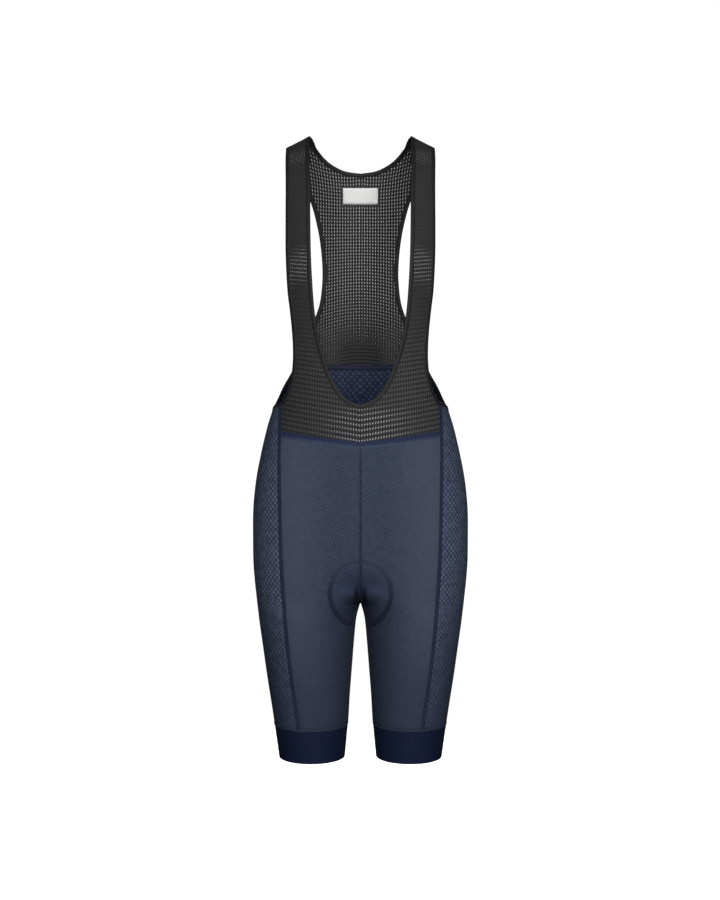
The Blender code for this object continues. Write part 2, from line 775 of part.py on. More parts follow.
def main():
    collection = start_scene()
    neck_parts, back_neck = neck_lines()
    arm_parts = arm_lines()

    def add(name, patches, thickness, colour, roughness, lift=0.0):
        add_piece(name, wall(patches, thickness, lift), colour, roughness, collection)

    def both(places):
        return [places, mirrored(places)]

    add("bib_front", both(bib_front(neck_parts, arm_parts[0])), NET_WALL, BLACK, 0.7)
    add("back_net", both(back_net(back_neck, arm_parts[3])), NET_WALL, BLACK, 0.7)
    add("back_yoke", both(yoke(arm_parts[2])), KNIT_WALL, BLUE, 0.6)
    add("waist_tape", both(waist_tape()), TAPE_WALL, BLUE, 0.6, lift=BINDING_PROUD)
    neck = binding([joined(*neck_parts)[::-1], back_neck])
    for row in (neck[0], neck[-1]):
        row[:] = [on_centre(place) for place in row]
    add("neck_binding", both(neck), BINDING_WALL, BINDING_BLACK, 0.6, lift=BINDING_PROUD)
    pieces = (
        ("front", front_panel(), KNIT_WALL, BLUE, 0.0),
        ("side", side_panel(arm_parts[1]), KNIT_WALL, BLUE, 0.0),
        ("leg_band", leg_band(), BAND_WALL, BAND_BLUE, 0.0),
        ("armhole_binding", binding(arm_parts), BINDING_WALL, BINDING_BLACK, BINDING_PROUD),
    )
    for name, places, thickness, colour, lift in pieces:
        add(name + "_left", [places], thickness, colour, 0.6, lift)
        add(name + "_right", [mirrored(places)], thickness, colour, 0.6, lift)
    pad = [half for back in (False, True) for half in both(pad_quarter(back))]
    add("seat_pad", pad, PAD_WALL, PAD_BLUE, 0.8, lift=-KNIT_WALL - PAD_CLEARANCE)
    add("neck_label", both(label()), LABEL_WALL, WHITE, 0.5, lift=-NET_WALL - LABEL_CLEARANCE)


main()
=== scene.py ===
# %% [markdown]
# # Cycling bib shorts
# This lesson dresses a plain model of a garment: the model's solids give the form, and
# each one is replaced here by finer cloth with its own weave, seams and stitches.

# %% The frame
import math

import bmesh
import bpy
from mathutils import Matrix, Vector


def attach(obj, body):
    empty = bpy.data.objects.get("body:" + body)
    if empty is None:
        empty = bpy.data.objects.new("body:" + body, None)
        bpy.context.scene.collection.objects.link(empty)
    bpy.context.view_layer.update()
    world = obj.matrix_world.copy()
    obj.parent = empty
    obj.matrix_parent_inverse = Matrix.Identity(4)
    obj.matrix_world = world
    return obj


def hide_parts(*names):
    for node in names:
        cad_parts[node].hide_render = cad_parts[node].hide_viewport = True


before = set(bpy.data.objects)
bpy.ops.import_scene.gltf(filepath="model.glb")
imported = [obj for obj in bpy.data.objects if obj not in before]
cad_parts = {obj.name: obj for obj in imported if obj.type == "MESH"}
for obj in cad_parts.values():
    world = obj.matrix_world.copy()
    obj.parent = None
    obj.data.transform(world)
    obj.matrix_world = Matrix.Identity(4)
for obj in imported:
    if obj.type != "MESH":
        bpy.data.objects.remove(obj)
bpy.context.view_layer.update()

# %% [markdown]
# ## Camera and studio
# The garment hangs in the middle of a white studio, as in a shop's picture. The camera
# stands level with its middle. The studio is one sheet: a round floor that curves up into
# a wall all round. It glows a little, so that it stays white from every side, and it
# casts no light of its own on the cloth.

# %% Camera
def placed(name, data):
    """A new object in the scene."""
    thing = bpy.data.objects.new(name, data)
    bpy.context.scene.collection.objects.link(thing)
    return thing


def set_inputs(node, values):
    for name, value in values.items():
        node.inputs[name].default_value = value


camera = placed("camera", bpy.data.cameras.new("camera"))
bpy.context.scene.camera = camera
camera.location = (-0.0007, -2.2, -0.476)
camera.rotation_euler = (math.radians(90), 0, 0)
camera.data.lens = 56.8
bpy.context.scene.view_settings.view_transform = "Standard"

# %% Studio and lights
FLOOR, FLOOR_RADIUS, CURVE_RADIUS, CURVE_STEPS, WALL_TOP = -1.45, 5.0, 1.6, 12, 5.0

sheet = bmesh.new()
profile = [(0.0, FLOOR), (FLOOR_RADIUS, FLOOR)]
for step in range(1, CURVE_STEPS + 1):
    angle = math.pi / 2 * step / CURVE_STEPS
    out = FLOOR_RADIUS + CURVE_RADIUS * math.sin(angle)
    profile.append((out, FLOOR + CURVE_RADIUS * (1 - math.cos(angle))))
profile.append((FLOOR_RADIUS + CURVE_RADIUS, WALL_TOP))
corners = [sheet.verts.new((x, 0.0, z)) for x, z in profile]
edges = [sheet.edges.new(pair) for pair in zip(corners, corners[1:])]
bmesh.ops.spin(sheet, geom=corners + edges, axis=(0, 0, 1), angle=2 * math.pi, steps=64, use_merge=True)
bmesh.ops.remove_doubles(sheet, verts=sheet.verts[:], dist=0.0001)
sweep_mesh = bpy.data.meshes.new("studio_wall")
sheet.to_mesh(sweep_mesh)
sheet.free()
sweep_mesh.shade_smooth()
sweep = placed("studio_wall", sweep_mesh)
sweep.visible_diffuse = False
sweep.visible_glossy = False
paper = bpy.data.materials.new("paper")
paper.use_nodes = True
set_inputs(paper.node_tree.nodes["Principled BSDF"], {
    "Base Color": (0.8, 0.8, 0.8, 1), "Roughness": 1.0,
    "Emission Color": (1, 1, 1, 1), "Emission Strength": 0.95})
sweep_mesh.materials.append(paper)

world = bpy.data.worlds.new("studio")
bpy.context.scene.world = world
world.use_nodes = True
set_inputs(world.node_tree.nodes["Background"], {"Color": (1, 1, 1, 1), "Strength": 0.03})

AIM = Vector((0, 0, -0.40))
LIGHTS = (
    ("key", (0.0, -2.5, 0.60), 1.3, 40.0),
    ("right_strip", (0.95, -2.5, 0.1), 0.7, 32.0),
    ("left_strip", (-0.85, -2.5, 0.1), 0.7, 13.0),
    ("low_fill", (0.0, -2.2, -1.45), 0.9, 15.0),
    ("back_key", (0.0, 2.6, 0.20), 0.7, 75.0),
)
for name, place, size, power in LIGHTS:
    light = placed(name, bpy.data.lights.new(name, "AREA"))
    light.data.size = size
    light.data.energy = power
    light.location = place
    light.visible_camera = False
    light.rotation_euler = (AIM - Vector(place)).to_track_quat("-Z", "Y").to_euler()
print(len(LIGHTS), "lights round the garment")

# %% [markdown]
# ## The form of the cloth
# Every piece of a close-fitting garment lies on one skin. Rings of a few sizes describe
# it: half rings down to the crotch, and whole rings round each leg. A point of the
# wearer's left half has a turn, from 0 at the front centre to 1 at the back centre, and a
# section, which counts the rows of the table down from the shoulder.

# %% Rings of the form
MM = 0.001
ROUNDNESS, HIP_ROUNDNESS, LEG_ROUNDNESS = 2.3, 2.65, 2.05
SHOULDER_SLOPE, SHOULDER_MIDDLE, SLOPE_SECTIONS = 0.51, 0.097, 5
CROTCH = 21
HIP_SECTIONS = (12.0, 19.0)
LEG_SHIFT = 0.120
STEP = 0.001
COLUMNS = ("outer", "inner", "wide", "inseam", "front", "back", "middle", "leg")
SECTIONS = (
    (0, 0, 150, 0, 0, 0, 0, 0),
    (-7, -7, 150, 0, 26, 24, 0, 0),
    (-27, -27, 150, 0, 52, 46, 0, 0),
    (-60, -60, 150, 0, 75, 62, 0, 0),
    (-105, -105, 150, 0, 93, 76, 0, 0),
    (-160, -160, 150, 0, 106, 87, 0, 0),
    (-215, -215, 147, 0, 112, 90, 0, 0),
    (-270, -270, 141, 0, 109, 86, 0, 0),
    (-320, -320, 134, 0, 102, 79, 0, 0),
    (-365, -365, 131, 0, 97, 76, 0, 0),
    (-405, -405, 134, 0, 97, 80, 0, 0),
    (-440, -440, 144, 0, 101, 89, 0, 0),
    (-478, -478, 153, 0, 106, 100, 0, 0),
    (-520, -520, 161, 0, 110, 112, 0, 0),
    (-565, -565, 165.5, 0, 111, 121, 0, 0),
    (-610, -608, 166, 0, 110, 125, 1, 0),
    (-648, -643, 165.5, 0, 108, 124, 3, 0),
    (-677, -670, 163.5, 0, 105.5, 120.4, 6, 0.03),
    (-697, -689, 161.5, 0, 102, 115, 8, 0.12),
    (-712, -702, 160, 0, 99.0, 109.7, 9, 0.32),
    (-724, -710, 158.8, 0.2, 96.7, 104.7, 10, 0.64),
    (-735, -714, 157.7, 0.8, 94.7, 99.8, 10, 1),
    (-752, -735, 155.3, 6.5, 91.2, 95.5, 9, 1),
    (-778, -768, 151.5, 10, 86.0, 90, 8, 1),
    (-815, -812, 146.3, 13.5, 79.5, 83.5, 7, 1),
    (-855, -855, 140, 16.8, 74, 77, 6, 1),
    (-900, -900, 133, 19.5, 68, 70, 5, 1),
    (-950, -950, 126, 24, 60.5, 63.5, 4, 1),
)


def smooth(before, start, end, after, part):
    """Value at part of the way from start to end, on a curve through all four."""
    slope_start = (end - before) / 2
    slope_end = (after - start) / 2
    bend = 2 * start - 2 * end + slope_start + slope_end
    pull = 3 * end - 3 * start - 2 * slope_start - slope_end
    return ((bend * part + pull) * part + slope_start) * part + start


def table_row(index):
    """A row of the table; above the shoulder it is reflected."""
    if index < 0:
        row = list(SECTIONS[-index])
        row[4], row[5] = -row[4], -row[5]
        return row
    return SECTIONS[min(index, len(SECTIONS) - 1)]


def limited(value):
    return min(1.0, max(0.0, value))


def eased(value, low, high):
    """From 0 at low to 1 at high, smoothly."""
    share = limited((value - low) / (high - low))
    return share * share * (3 - 2 * share)


def section_sizes(section):
    index = min(int(section), len(SECTIONS) - 2)
    rows = [table_row(index + step) for step in (-1, 0, 1, 2)]
    values = [smooth(*[row[c] for row in rows], section - index) for c in range(len(COLUMNS))]
    sizes = {name: value * MM for name, value in zip(COLUMNS, values)}
    sizes["leg"] = limited(values[-1])
    return sizes


def signed_power(value, power):
    return math.copysign(abs(value) ** power, value)


def slope_share(section):
    if section >= SLOPE_SECTIONS:
        return 0.0
    return math.cos(math.pi / 2 * section / SLOPE_SECTIONS) ** 2


def skin(turn, section):
    """The point of the form's left half, with x above 0, at a turn and a section."""
    size = section_sizes(section)
    middle = size["middle"]
    hips = eased(section, *HIP_SECTIONS)
    power = 2 / (ROUNDNESS + (HIP_ROUNDNESS - ROUNDNESS) * hips)
    shift = LEG_SHIFT * math.sin(2 * math.pi * turn) ** 2 * hips
    around = math.pi * (turn - shift if 0 < turn % 1 < 0.5 else turn + shift)
    body_x = size["wide"] * signed_power(math.sin(around), power)
    ahead = signed_power(math.cos(around), power)
    reach = size["front"] + middle if ahead > 0 else size["back"] - middle
    body_y = middle - reach * ahead
    power = 2 / LEG_ROUNDNESS
    half = (size["wide"] - size["inseam"]) / 2
    leg_x = size["inseam"] + half - half * signed_power(math.cos(2 * math.pi * turn), power)
    side = signed_power(math.sin(2 * math.pi * turn), power)
    reach = size["front"] + middle if side > 0 else size["back"] - middle
    leg_y = middle - reach * side
    x = body_x + (leg_x - body_x) * size["leg"]
    y = body_y + (leg_y - body_y) * size["leg"]
    z = size["inner"] + (size["outer"] - size["inner"]) * math.sin(math.pi * turn) ** 2
    z += SHOULDER_SLOPE * (SHOULDER_MIDDLE - abs(x)) * slope_share(section)
    return Vector((x, y, z))


def slopes(turn, section):
    """How the point moves with the turn and with the section."""
    low, high = max(0.0, section - STEP), min(len(SECTIONS) - 1, section + STEP)
    along = (skin(turn + STEP, section) - skin(turn - STEP, section)) / (2 * STEP)
    if min(turn, 1 - turn) < STEP and section < CROTCH:
        along = Vector((1.0, 0.0, 0.0)) * (1 if turn < 0.5 else -1)
    down = (skin(turn, high) - skin(turn, low)) / (high - low)
    return along, down


def outward(turn, section):
    along, down = slopes(turn, section)
    return down.cross(along).normalized()


def found(test, low, high, steps=40):
    """The number between low and high at which a test stops being true."""
    for _ in range(steps):
        middle = (low + high) / 2
        if test(middle):
            low = middle
        else:
            high = middle
    return middle


def at_height(turn, height):
    return found(lambda section: skin(turn, section).z > height, 0.0, len(SECTIONS) - 1.0)


def locate(distance, height, back=False):
    """Turn and section of the body's point at a distance from the centre and a height."""
    def above(section):
        shift = SHOULDER_SLOPE * (SHOULDER_MIDDLE - distance) * slope_share(section)
        return section_sizes(section)["inner"] + shift > height
    section = found(above, 0.0, CROTCH - 4.0)
    share = min(1.0, distance / section_sizes(section)["wide"])
    turn = math.asin(share ** (ROUNDNESS / 2)) / math.pi
    return (1 - turn if back else turn), section


print("the form's widest point is at", skin(0.5, 15))

# %% [markdown]
# ## The cut
# The edges and seams are drawn on the form like chalk lines, as distances from the
# centre and heights. A line between two drawn points is bent smoothly.

# %% Edges and seams
NECK_FRONT = ((77.5, -30), (75.5, -80), (74.5, -140), (73.5, -185), (71, -235), (67.3, -277),
              (61.2, -311), (52.9, -341), (43.5, -366), (31.5, -388), (17, -402), (0, -408))
NECK_BACK = ((70, -1), (57, -15), (43, -25), (24, -33), (0, -36))
ARMHOLE_FRONT = ((114.5, -30), (113, -80), (112.5, -140), (112, -185), (109.5, -236), (106, -266),
                 (103, -296), (101.5, -327), (102.5, -352), (106, -372), (111.5, -389), (118.5, -402))
ARMHOLE_BACK = ((129.5, -396), (121, -375), (108, -350), (86, -300), (72.5, -263), (65, -238),
                (61.5, -205), (61.5, -180), (64, -150), (69, -120), (79, -83), (96, -45))
ARMHOLE_LOW = -0.409
SHOULDER_INNER, SHOULDER_OUTER = 0.0783, 0.1150
BIB_LOW_SIDE, BIB_LOW_CENTRE, WAIST_BOW = -0.4475, -0.4640, 1.25
SIDE_SEAM = ((-380, 120.5), (-452, 121.8), (-520, 121.3), (-587, 120), (-630, 118.8), (-674, 116.6),
             (-744, 111.5), (-813, 104.2), (-897, 93), (-950, 86))
YOKE_TOP, YOKE_LOW, YOKE_END_TURN = -0.341, -0.455, 0.555
BAND_TOP = -0.899
TAPE_WIDTH = 0.0100
BINDING_WIDTH = 0.0070
HEM = len(SECTIONS) - 1.0


def curved(points, fine=6):
    """A smooth line through points, with fine steps between each two."""
    last = len(points) - 1
    result = []
    for index in range(last):
        near = [points[min(max(index + step, 0), last)] for step in (-1, 0, 1, 2)]
        for number in range(fine):
            result.append(tuple(smooth(*[p[axis] for p in near], number / fine) for axis in (0, 1)))
    result.append(points[last])
    return result


def drawn(rows, back=False):
    return [locate(distance * MM, height * MM, back) for distance, height in curved(rows)]


def shoulder_turn(distance, back=False):
    turn = math.asin((distance / (SECTIONS[0][2] * MM)) ** (ROUNDNESS / 2)) / math.pi
    return 1 - turn if back else turn


def running_length(points):
    lengths = [0.0]
    for first, second in zip(points, points[1:]):
        lengths.append(lengths[-1] + (second - first).length)
    return lengths


def even_places(lengths, count):
    """(index, part of the way to the next) of count places that lie evenly along a line."""
    result, place = [], 0
    for number in range(count):
        goal = lengths[-1] * number / (count - 1)
        while place < len(lengths) - 2 and lengths[place + 1] < goal:
            place += 1
        span = lengths[place + 1] - lengths[place]
        result.append((place, min(1.0, (goal - lengths[place]) / span) if span else 0.0))
    return result


def even(line, count):
    """The same line with count points, evenly spaced along the cloth."""
    result = []
    for place, part in even_places(running_length([skin(*pair) for pair in line]), count):
        result.append(tuple(a + (b - a) * part for a, b in zip(line[place], line[place + 1])))
    return result


def seam_distance(height):
    """Distance of the side seam from the centre at a height."""
    last = len(SIDE_SEAM) - 1
    index = 0
    while index < last - 1 and height < SIDE_SEAM[index + 1][0] * MM:
        index += 1
    high, low = SIDE_SEAM[index][0] * MM, SIDE_SEAM[index + 1][0] * MM
    rows = [SIDE_SEAM[min(max(index + step, 0), last)][1] * MM for step in (-1, 0, 1, 2)]
    return smooth(*rows, limited((height - high) / (low - high)))


def seam_turn(section):
    def inside(turn):
        point = skin(turn, section)
        return point.x < seam_distance(point.z)
    return found(inside, 0.02, 0.5)


def waist_line(drop, count=60):
    """The bib's lower edge from the centre to the side seam, moved down by a drop."""
    side = seam_distance(BIB_LOW_SIDE - drop)
    rise = BIB_LOW_SIDE - BIB_LOW_CENTRE
    shares = [number / (count - 1) for number in range(count)]
    return [locate(side * share, BIB_LOW_CENTRE - drop + rise * share ** WAIST_BOW) for share in shares]


neck_front = even([(shoulder_turn(SHOULDER_INNER), 0.0)] + drawn(NECK_FRONT), 160)
neck_back = even([(shoulder_turn(SHOULDER_INNER, True), 0.0)] + drawn(NECK_BACK, True), 60)
arm_front = [(shoulder_turn(SHOULDER_OUTER), 0.0)] + drawn(ARMHOLE_FRONT)
arm_back = drawn(ARMHOLE_BACK, True) + [(shoulder_turn(SHOULDER_OUTER, True), 0.0)]
arm_under = curved(arm_front[-2:] + [(0.5, at_height(0.5, ARMHOLE_LOW))] + arm_back[:2])
armhole = even(arm_front[:-2] + arm_under + arm_back[2:], 300)
print("the neck edge is drawn with", len(neck_front) + len(neck_back), "points")

# %% [markdown]
# ## Distances along the cloth
# A net or a knit has an even pitch along the cloth, so the script also needs to know how
# far it is from one place to another. Ring by ring it adds up the distance from the
# centre line round the form, and down two plumb lines it adds up the length from the
# shoulder. The two tables are read both ways.

# %% Tables of distances
TURNS = 240
RING_STEP, PLUMB_STEP = 0.25, 0.1
FRONT_PLUMB, BACK_PLUMB = 0.095, 0.060


def interpolated(xs, ys, x):
    """The value of a table of rising xs at x, along straight lines."""
    if x <= xs[0]:
        return ys[0]
    if x >= xs[-1]:
        return ys[-1]
    low, high = 0, len(xs) - 1
    while high - low > 1:
        middle = (low + high) // 2
        if xs[middle] <= x:
            low = middle
        else:
            high = middle
    part = (x - xs[low]) / (xs[high] - xs[low]) if xs[high] > xs[low] else 0.0
    return ys[low] + (ys[high] - ys[low]) * part


turn_steps = [number / TURNS for number in range(TURNS + 1)]
ring_arcs = []
for number in range(int(HEM / RING_STEP) + 1):
    ring_arcs.append(running_length([skin(turn, number * RING_STEP) for turn in turn_steps]))


def arc_of(turn, section):
    """Distance round the form from the front's centre line."""
    place = min(section / RING_STEP, len(ring_arcs) - 1.001)
    ring, part = int(place), place - int(place)
    arcs = [interpolated(turn_steps, ring_arcs[ring + step], turn) for step in (0, 1)]
    return arcs[0] + (arcs[1] - arcs[0]) * part


def turn_of(arc, section):
    """The turn at a distance round the form from the front's centre line."""
    place = min(max(section, 0) / RING_STEP, len(ring_arcs) - 1.001)
    ring, part = int(place), place - int(place)
    turns = [interpolated(ring_arcs[ring + step], turn_steps, arc) for step in (0, 1)]
    return turns[0] + (turns[1] - turns[0]) * part


def plumb_table(distance, back):
    """Length from the shoulder down a line at a distance from the centre, by section."""
    sections = [number * PLUMB_STEP for number in range(int(HEM / PLUMB_STEP) + 1)]
    points = []
    for section in sections:
        half = arc_of(1.0, section)
        arc = min(distance, half / 2)
        points.append(skin(turn_of(half - arc if back else arc, section), section))
    return running_length(points), sections


front_plumb = plumb_table(FRONT_PLUMB, False)
back_plumb = plumb_table(BACK_PLUMB, True)


def length_of(section, plumb=front_plumb):
    return interpolated(plumb[1], plumb[0], section)


def section_of(length, plumb=front_plumb):
    return interpolated(plumb[0], plumb[1], length)


print("the front is", round(front_plumb[0][-1], 3), "m long from the shoulder to the hem")

# %% [markdown]
# ## Cloth on the form
# A place on the whole garment is a signed turn and a section: turns below nought, or
# above one across the back's centre, are the right half. Each piece starts as a flat grid
# whose corners are moved onto the form. Its cloth coordinates, in metres, are kept as
# its UV map, so that every weave and knit has its real scale.

# %% Laying a grid on the form
def on_form(turn, section, lift=0.0):
    """Point of the garment for a signed turn, and the direction out of the cloth."""
    turn = turn - 2 if turn > 1 else turn
    side = math.copysign(1, turn)
    point, normal = skin(abs(turn), section), outward(abs(turn), section)
    point = Vector((point.x * side, point.y, point.z))
    normal = Vector((normal.x * side, normal.y, normal.z))
    return point + normal * lift, normal


def flat_grid(across, down):
    """A flat grid as a bmesh, and its corners as rows."""
    mesh = bmesh.new()
    bmesh.ops.create_grid(mesh, x_segments=across, y_segments=down, size=0.5)
    mesh.verts.ensure_lookup_table()
    rows = [mesh.verts[row * (across + 1):(row + 1) * (across + 1)] for row in range(down + 1)]
    return mesh, rows


def keep_uv(mesh, places):
    """Write a UV map from a dictionary of corner to cloth coordinates."""
    layer = mesh.loops.layers.uv.new("cloth")
    for face in mesh.faces:
        for loop in face.loops:
            loop[layer].uv = places[loop.vert]


def piece_of(name, mesh, material, replaces=(), wall=0.0):
    """A bmesh as a named piece that rides with the garment; its wall goes inward."""
    data = bpy.data.meshes.new(name)
    mesh.to_mesh(data)
    mesh.free()
    data.shade_smooth()
    data.materials.append(material)
    piece = placed(name, data)
    if wall:
        solid = piece.modifiers.new("wall", "SOLIDIFY")
        solid.thickness = wall
        solid.offset = -1.0
    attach(piece, "root")
    for node in replaces:
        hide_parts(node)
    return piece


def finished(name, mesh, material, replaces=(), wall=0.0):
    """The same with its faces turned alike, sharp edges and an even wall."""
    bmesh.ops.recalc_face_normals(mesh, faces=mesh.faces[:])
    piece = piece_of(name, mesh, material, replaces, wall)
    piece.data.set_sharp_from_angle(angle=math.radians(50))
    if wall:
        piece.modifiers["wall"].use_even_offset = True
    return piece


def cloth_uv(turn, section):
    """Cloth coordinates of a place: round the form and down it, in metres."""
    signed = turn - 2 if turn > 1 else turn
    return math.copysign(arc_of(abs(signed), section), turn), length_of(section)


seam_arcs = [arc_of(seam_turn(section), section) for section in front_plumb[1]]


def panel_uv(turn, section):
    """The same, but measured round the form from the side seam."""
    across, down = cloth_uv(turn, section)
    seam = interpolated(front_plumb[1], seam_arcs, section)
    return across - math.copysign(seam, across), down


def laid(name, rows, material, replaces, wall, lift=0.0, form=None, place=cloth_uv):
    """A piece of cloth from rows of signed turns and sections."""
    mesh, grid = flat_grid(len(rows[0]) - 1, len(rows) - 1)
    uv = {}
    for line, row in zip(grid, rows):
        for corner, (turn, section) in zip(line, row):
            rise = lift + (form(turn, section) if form else 0.0)
            corner.co = on_form(turn, section, rise)[0]
            uv[corner] = place(turn, section)
    faces_out(mesh, rows)
    keep_uv(mesh, uv)
    return finished(name, mesh, material, replaces, wall)


def faces_out(mesh, rows):
    """Turn an open sheet's faces so that they look out of the garment."""
    middle = rows[len(rows) // 2][len(rows[0]) // 2]
    point, normal = on_form(*middle)
    bmesh.ops.recalc_face_normals(mesh, faces=mesh.faces[:])
    near = min(mesh.faces, key=lambda face: (face.calc_center_median() - point).length)
    if near.normal.dot(normal) < 0:
        bmesh.ops.reverse_faces(mesh, faces=mesh.faces[:])


def patch(top, bottom, left, right):
    """Rows of pairs that fill the space between four lines."""
    rows = []
    for i, (start, end) in enumerate(zip(left, right)):
        down = i / (len(left) - 1)
        row = []
        for j, (high, low) in enumerate(zip(top, bottom)):
            over = j / (len(top) - 1)
            pair = []
            for axis in (0, 1):
                edges = (high[axis] * (1 - down) + low[axis] * down
                         + start[axis] * (1 - over) + end[axis] * over)
                upper = top[0][axis] * (1 - over) + top[-1][axis] * over
                lower = bottom[0][axis] * (1 - over) + bottom[-1][axis] * over
                pair.append(edges - (upper * (1 - down) + lower * down))
            row.append(tuple(pair))
        rows.append(row)
    return rows


print("cloth coordinates at the side of the waist:", cloth_uv(0.5, 11))

# %% [markdown]
# ## Yarn, knit and net in colour
# A material is a sum of simple waves over the cloth coordinates, so it is written here as
# a sum: a small class lets a node's output be added, multiplied and compared as a number.

# %% Sums of nodes
def colour(red, green, blue):
    """A colour by its values from 0 to 255 on a screen."""
    def linear(value):
        value /= 255
        return value / 12.92 if value < 0.04045 else ((value + 0.055) / 1.055) ** 2.4
    return linear(red), linear(green), linear(blue), 1.0


class Term:
    """A node's output that works in sums: each operation makes the next node."""

    def __init__(self, tree, socket):
        self.tree, self.socket = tree, socket

    def make(self, kind, inputs, output=0, **settings):
        node = self.tree.nodes.new(kind)
        for name, value in settings.items():
            setattr(node, name, value)
        for key, value in inputs.items():
            if isinstance(value, Term):
                self.tree.links.new(value.socket, node.inputs[key])
            else:
                node.inputs[key].default_value = value
        return Term(self.tree, node.outputs[output])

    def math(self, operation, *values):
        return self.make("ShaderNodeMath", dict(enumerate(values)), operation=operation)

    def __add__(self, other):
        return self.math("ADD", self, other)

    __radd__ = __add__

    def __sub__(self, other):
        return self.math("SUBTRACT", self, other)

    def __rsub__(self, other):
        return self.math("SUBTRACT", other, self)

    def __mul__(self, other):
        return self.math("MULTIPLY", self, other)

    def __truediv__(self, other):
        return self.math("DIVIDE", self, other)

    def absolute(self):
        return self.math("ABSOLUTE", self)

    def wave(self, pitch):
        """A wave of this pitch, from -1 to 1."""
        return self.math("COSINE", self * (2 * math.pi / pitch))

    def ribs(self, pitch):
        """The same wave from 0 to 1."""
        return self.wave(pitch) * 0.5 + 0.5

    def step(self, low, high):
        """From 0 at low to 1 at high, smoothly; low may also be the higher number."""
        return self.make("ShaderNodeMapRange", {"Value": self, "From Min": low, "From Max": high},
                         interpolation_type="SMOOTHSTEP")

    def mix(self, first, second):
        """A colour between two colours, with this as the share of the second."""
        pair = [value if isinstance(value, Term) else colour(*value) for value in (first, second)]
        return self.make("ShaderNodeMix", {0: self, 6: pair[0], 7: pair[1]}, output=2, data_type="RGBA")


def cloth_material(name, roughness, sheen, recipe, shine=0.18):
    """A cloth's material. Its recipe gives a colour and a height in metres."""
    material = bpy.data.materials.new(name)
    material.use_nodes = True
    tree = material.node_tree
    shader = tree.nodes["Principled BSDF"]
    set_inputs(shader, {"Roughness": roughness, "Sheen Weight": sheen, "Sheen Roughness": 0.45,
                        "Specular IOR Level": shine})
    start = Term(tree, None)
    uv = start.make("ShaderNodeUVMap", {}, uv_map="cloth")
    place = start.make("ShaderNodeTexCoord", {}, output=3)
    parts = [start.make("ShaderNodeSeparateXYZ", {"Vector": vector}) for vector in (uv, place)]
    outputs = [Term(tree, part.socket.node.outputs[axis]) for part in parts for axis in (0, 1, 2)]
    shade, height = recipe(*outputs[:2], *outputs[3:])
    tree.links.new(shade.socket, shader.inputs["Base Color"])
    if height is not None:
        bump = start.make("ShaderNodeBump", {"Height": height, "Strength": 1.0, "Distance": 1.0})
        tree.links.new(bump.socket, shader.inputs["Normal"])
    return material


def uneven(x, y, z, scale):
    """A soft uneven share from 0 to 1; scale is the patches to a metre."""
    place = x.make("ShaderNodeCombineXYZ", {"X": x, "Y": y, "Z": z})
    noise = x.make("ShaderNodeTexNoise", {"Vector": place, "Scale": scale, "Detail": 2.0})
    return noise.step(0.35, 0.65)


# %% [markdown]
# Each recipe below gets the cloth coordinates and the place in space, both in metres. The
# knit is a lattice of diamonds, darkened towards the hem by painted shade. On the front it
# also carries the marks of the pad under it: a ring of stitching, a darker inside and two
# creases beside the centre seam, darkened by painted shade, with a patch of painted light
# beside them. Painted sheen makes the front lighter towards the side seams.

# %% Knits
RING_HEIGHT, RING_RADIUS, RING_DROP, RING_GAP = -0.6870, 0.0448, 0.78, 0.0017
CREASE_ASIDE = 0.0062


def pad_marks(x, y, z):
    """The pad's inside, ring, creases with painted shade, a patch of painted light beside them, and the
    front's share.
    """
    aside = x.absolute()
    rise = z - RING_HEIGHT
    rise = rise.math("MAXIMUM", rise, 0.0) + rise.math("MINIMUM", rise, 0.0) * RING_DROP
    away = rise.math("SQRT", x * x + rise * rise)
    front = y.step(-0.015, -0.040)
    inside = away.step(RING_RADIUS + 0.001, RING_RADIUS - 0.020) * front
    ring = ((away - RING_RADIUS).absolute() - RING_GAP).absolute().step(0.0021, 0.0003) * front
    ring = ring * (0.25 + z.step(RING_HEIGHT + 0.035, RING_HEIGHT - 0.005) * 0.75)
    low = z.step(-0.714, -0.700)
    # painted shade: the two creases beside the centre seam are darkened
    crease_shade = (aside - CREASE_ASIDE).absolute().step(0.0030, 0.0004) * low * z.step(-0.674, -0.692)
    # painted light: a paler patch beside the creases lightens the crotch where it faces down into shade
    painted_light_patch = low * z.step(-0.668, -0.690) * front * aside.step(0.006, 0.016) * aside.step(0.048, 0.026)
    return inside, ring, crease_shade * front, painted_light_patch, front


def knit_recipe(base, dark, pitch, relief, painted_low_shade=0.0, line_edge=0.4, marks=False):
    """A knit of diamonds between lines, thinner with a lower line_edge; the share given after the relief
    is painted shade, darker towards the hem.
    """
    def recipe(across, down, x, y, z):
        over, under = across / pitch[0], down / pitch[1]
        lattice = over.math("MINIMUM", (over + under).wave(1.0), (over - under).wave(1.0))
        yarn = across.wave(0.0009) * down.wave(0.0011)
        cloud = uneven(x, y, z, 120.0)
        share = lattice.step(-1.0, line_edge) * (0.55 + cloud * 0.3) + cloud * 0.15
        # painted shade: the knit grows darker towards the hem, as though less light reached it
        share = share * (1.0 - z.step(-0.66, -0.92) * painted_low_shade)
        shade = share.mix(dark, base)
        height = lattice * relief + yarn * 0.00003
        if marks:
            inside, ring, crease_shade, painted_light_patch, front = pad_marks(x, y, z)
            # painted sheen: the front knit is lighter towards the side seams, where light glances off it
            wide = x.absolute().step(0.030, 0.115) * z.step(-0.88, -0.72) * front
            shade = (wide * 0.16).mix(shade, (104, 111, 130))
            shade = (inside * 0.40).mix(shade, (22, 30, 54))
            shade = (ring * 0.75).mix(shade, (15, 21, 42))
            # painted light beside the creases
            shade = (painted_light_patch * 0.24).mix(shade, (98, 108, 140))
            # painted shade in the creases
            shade = (crease_shade * 0.85).mix(shade, (7, 10, 24))
            height = height + inside * 0.0008 - ring * 0.0005 - crease_shade * 0.0003
        return shade, height
    return recipe
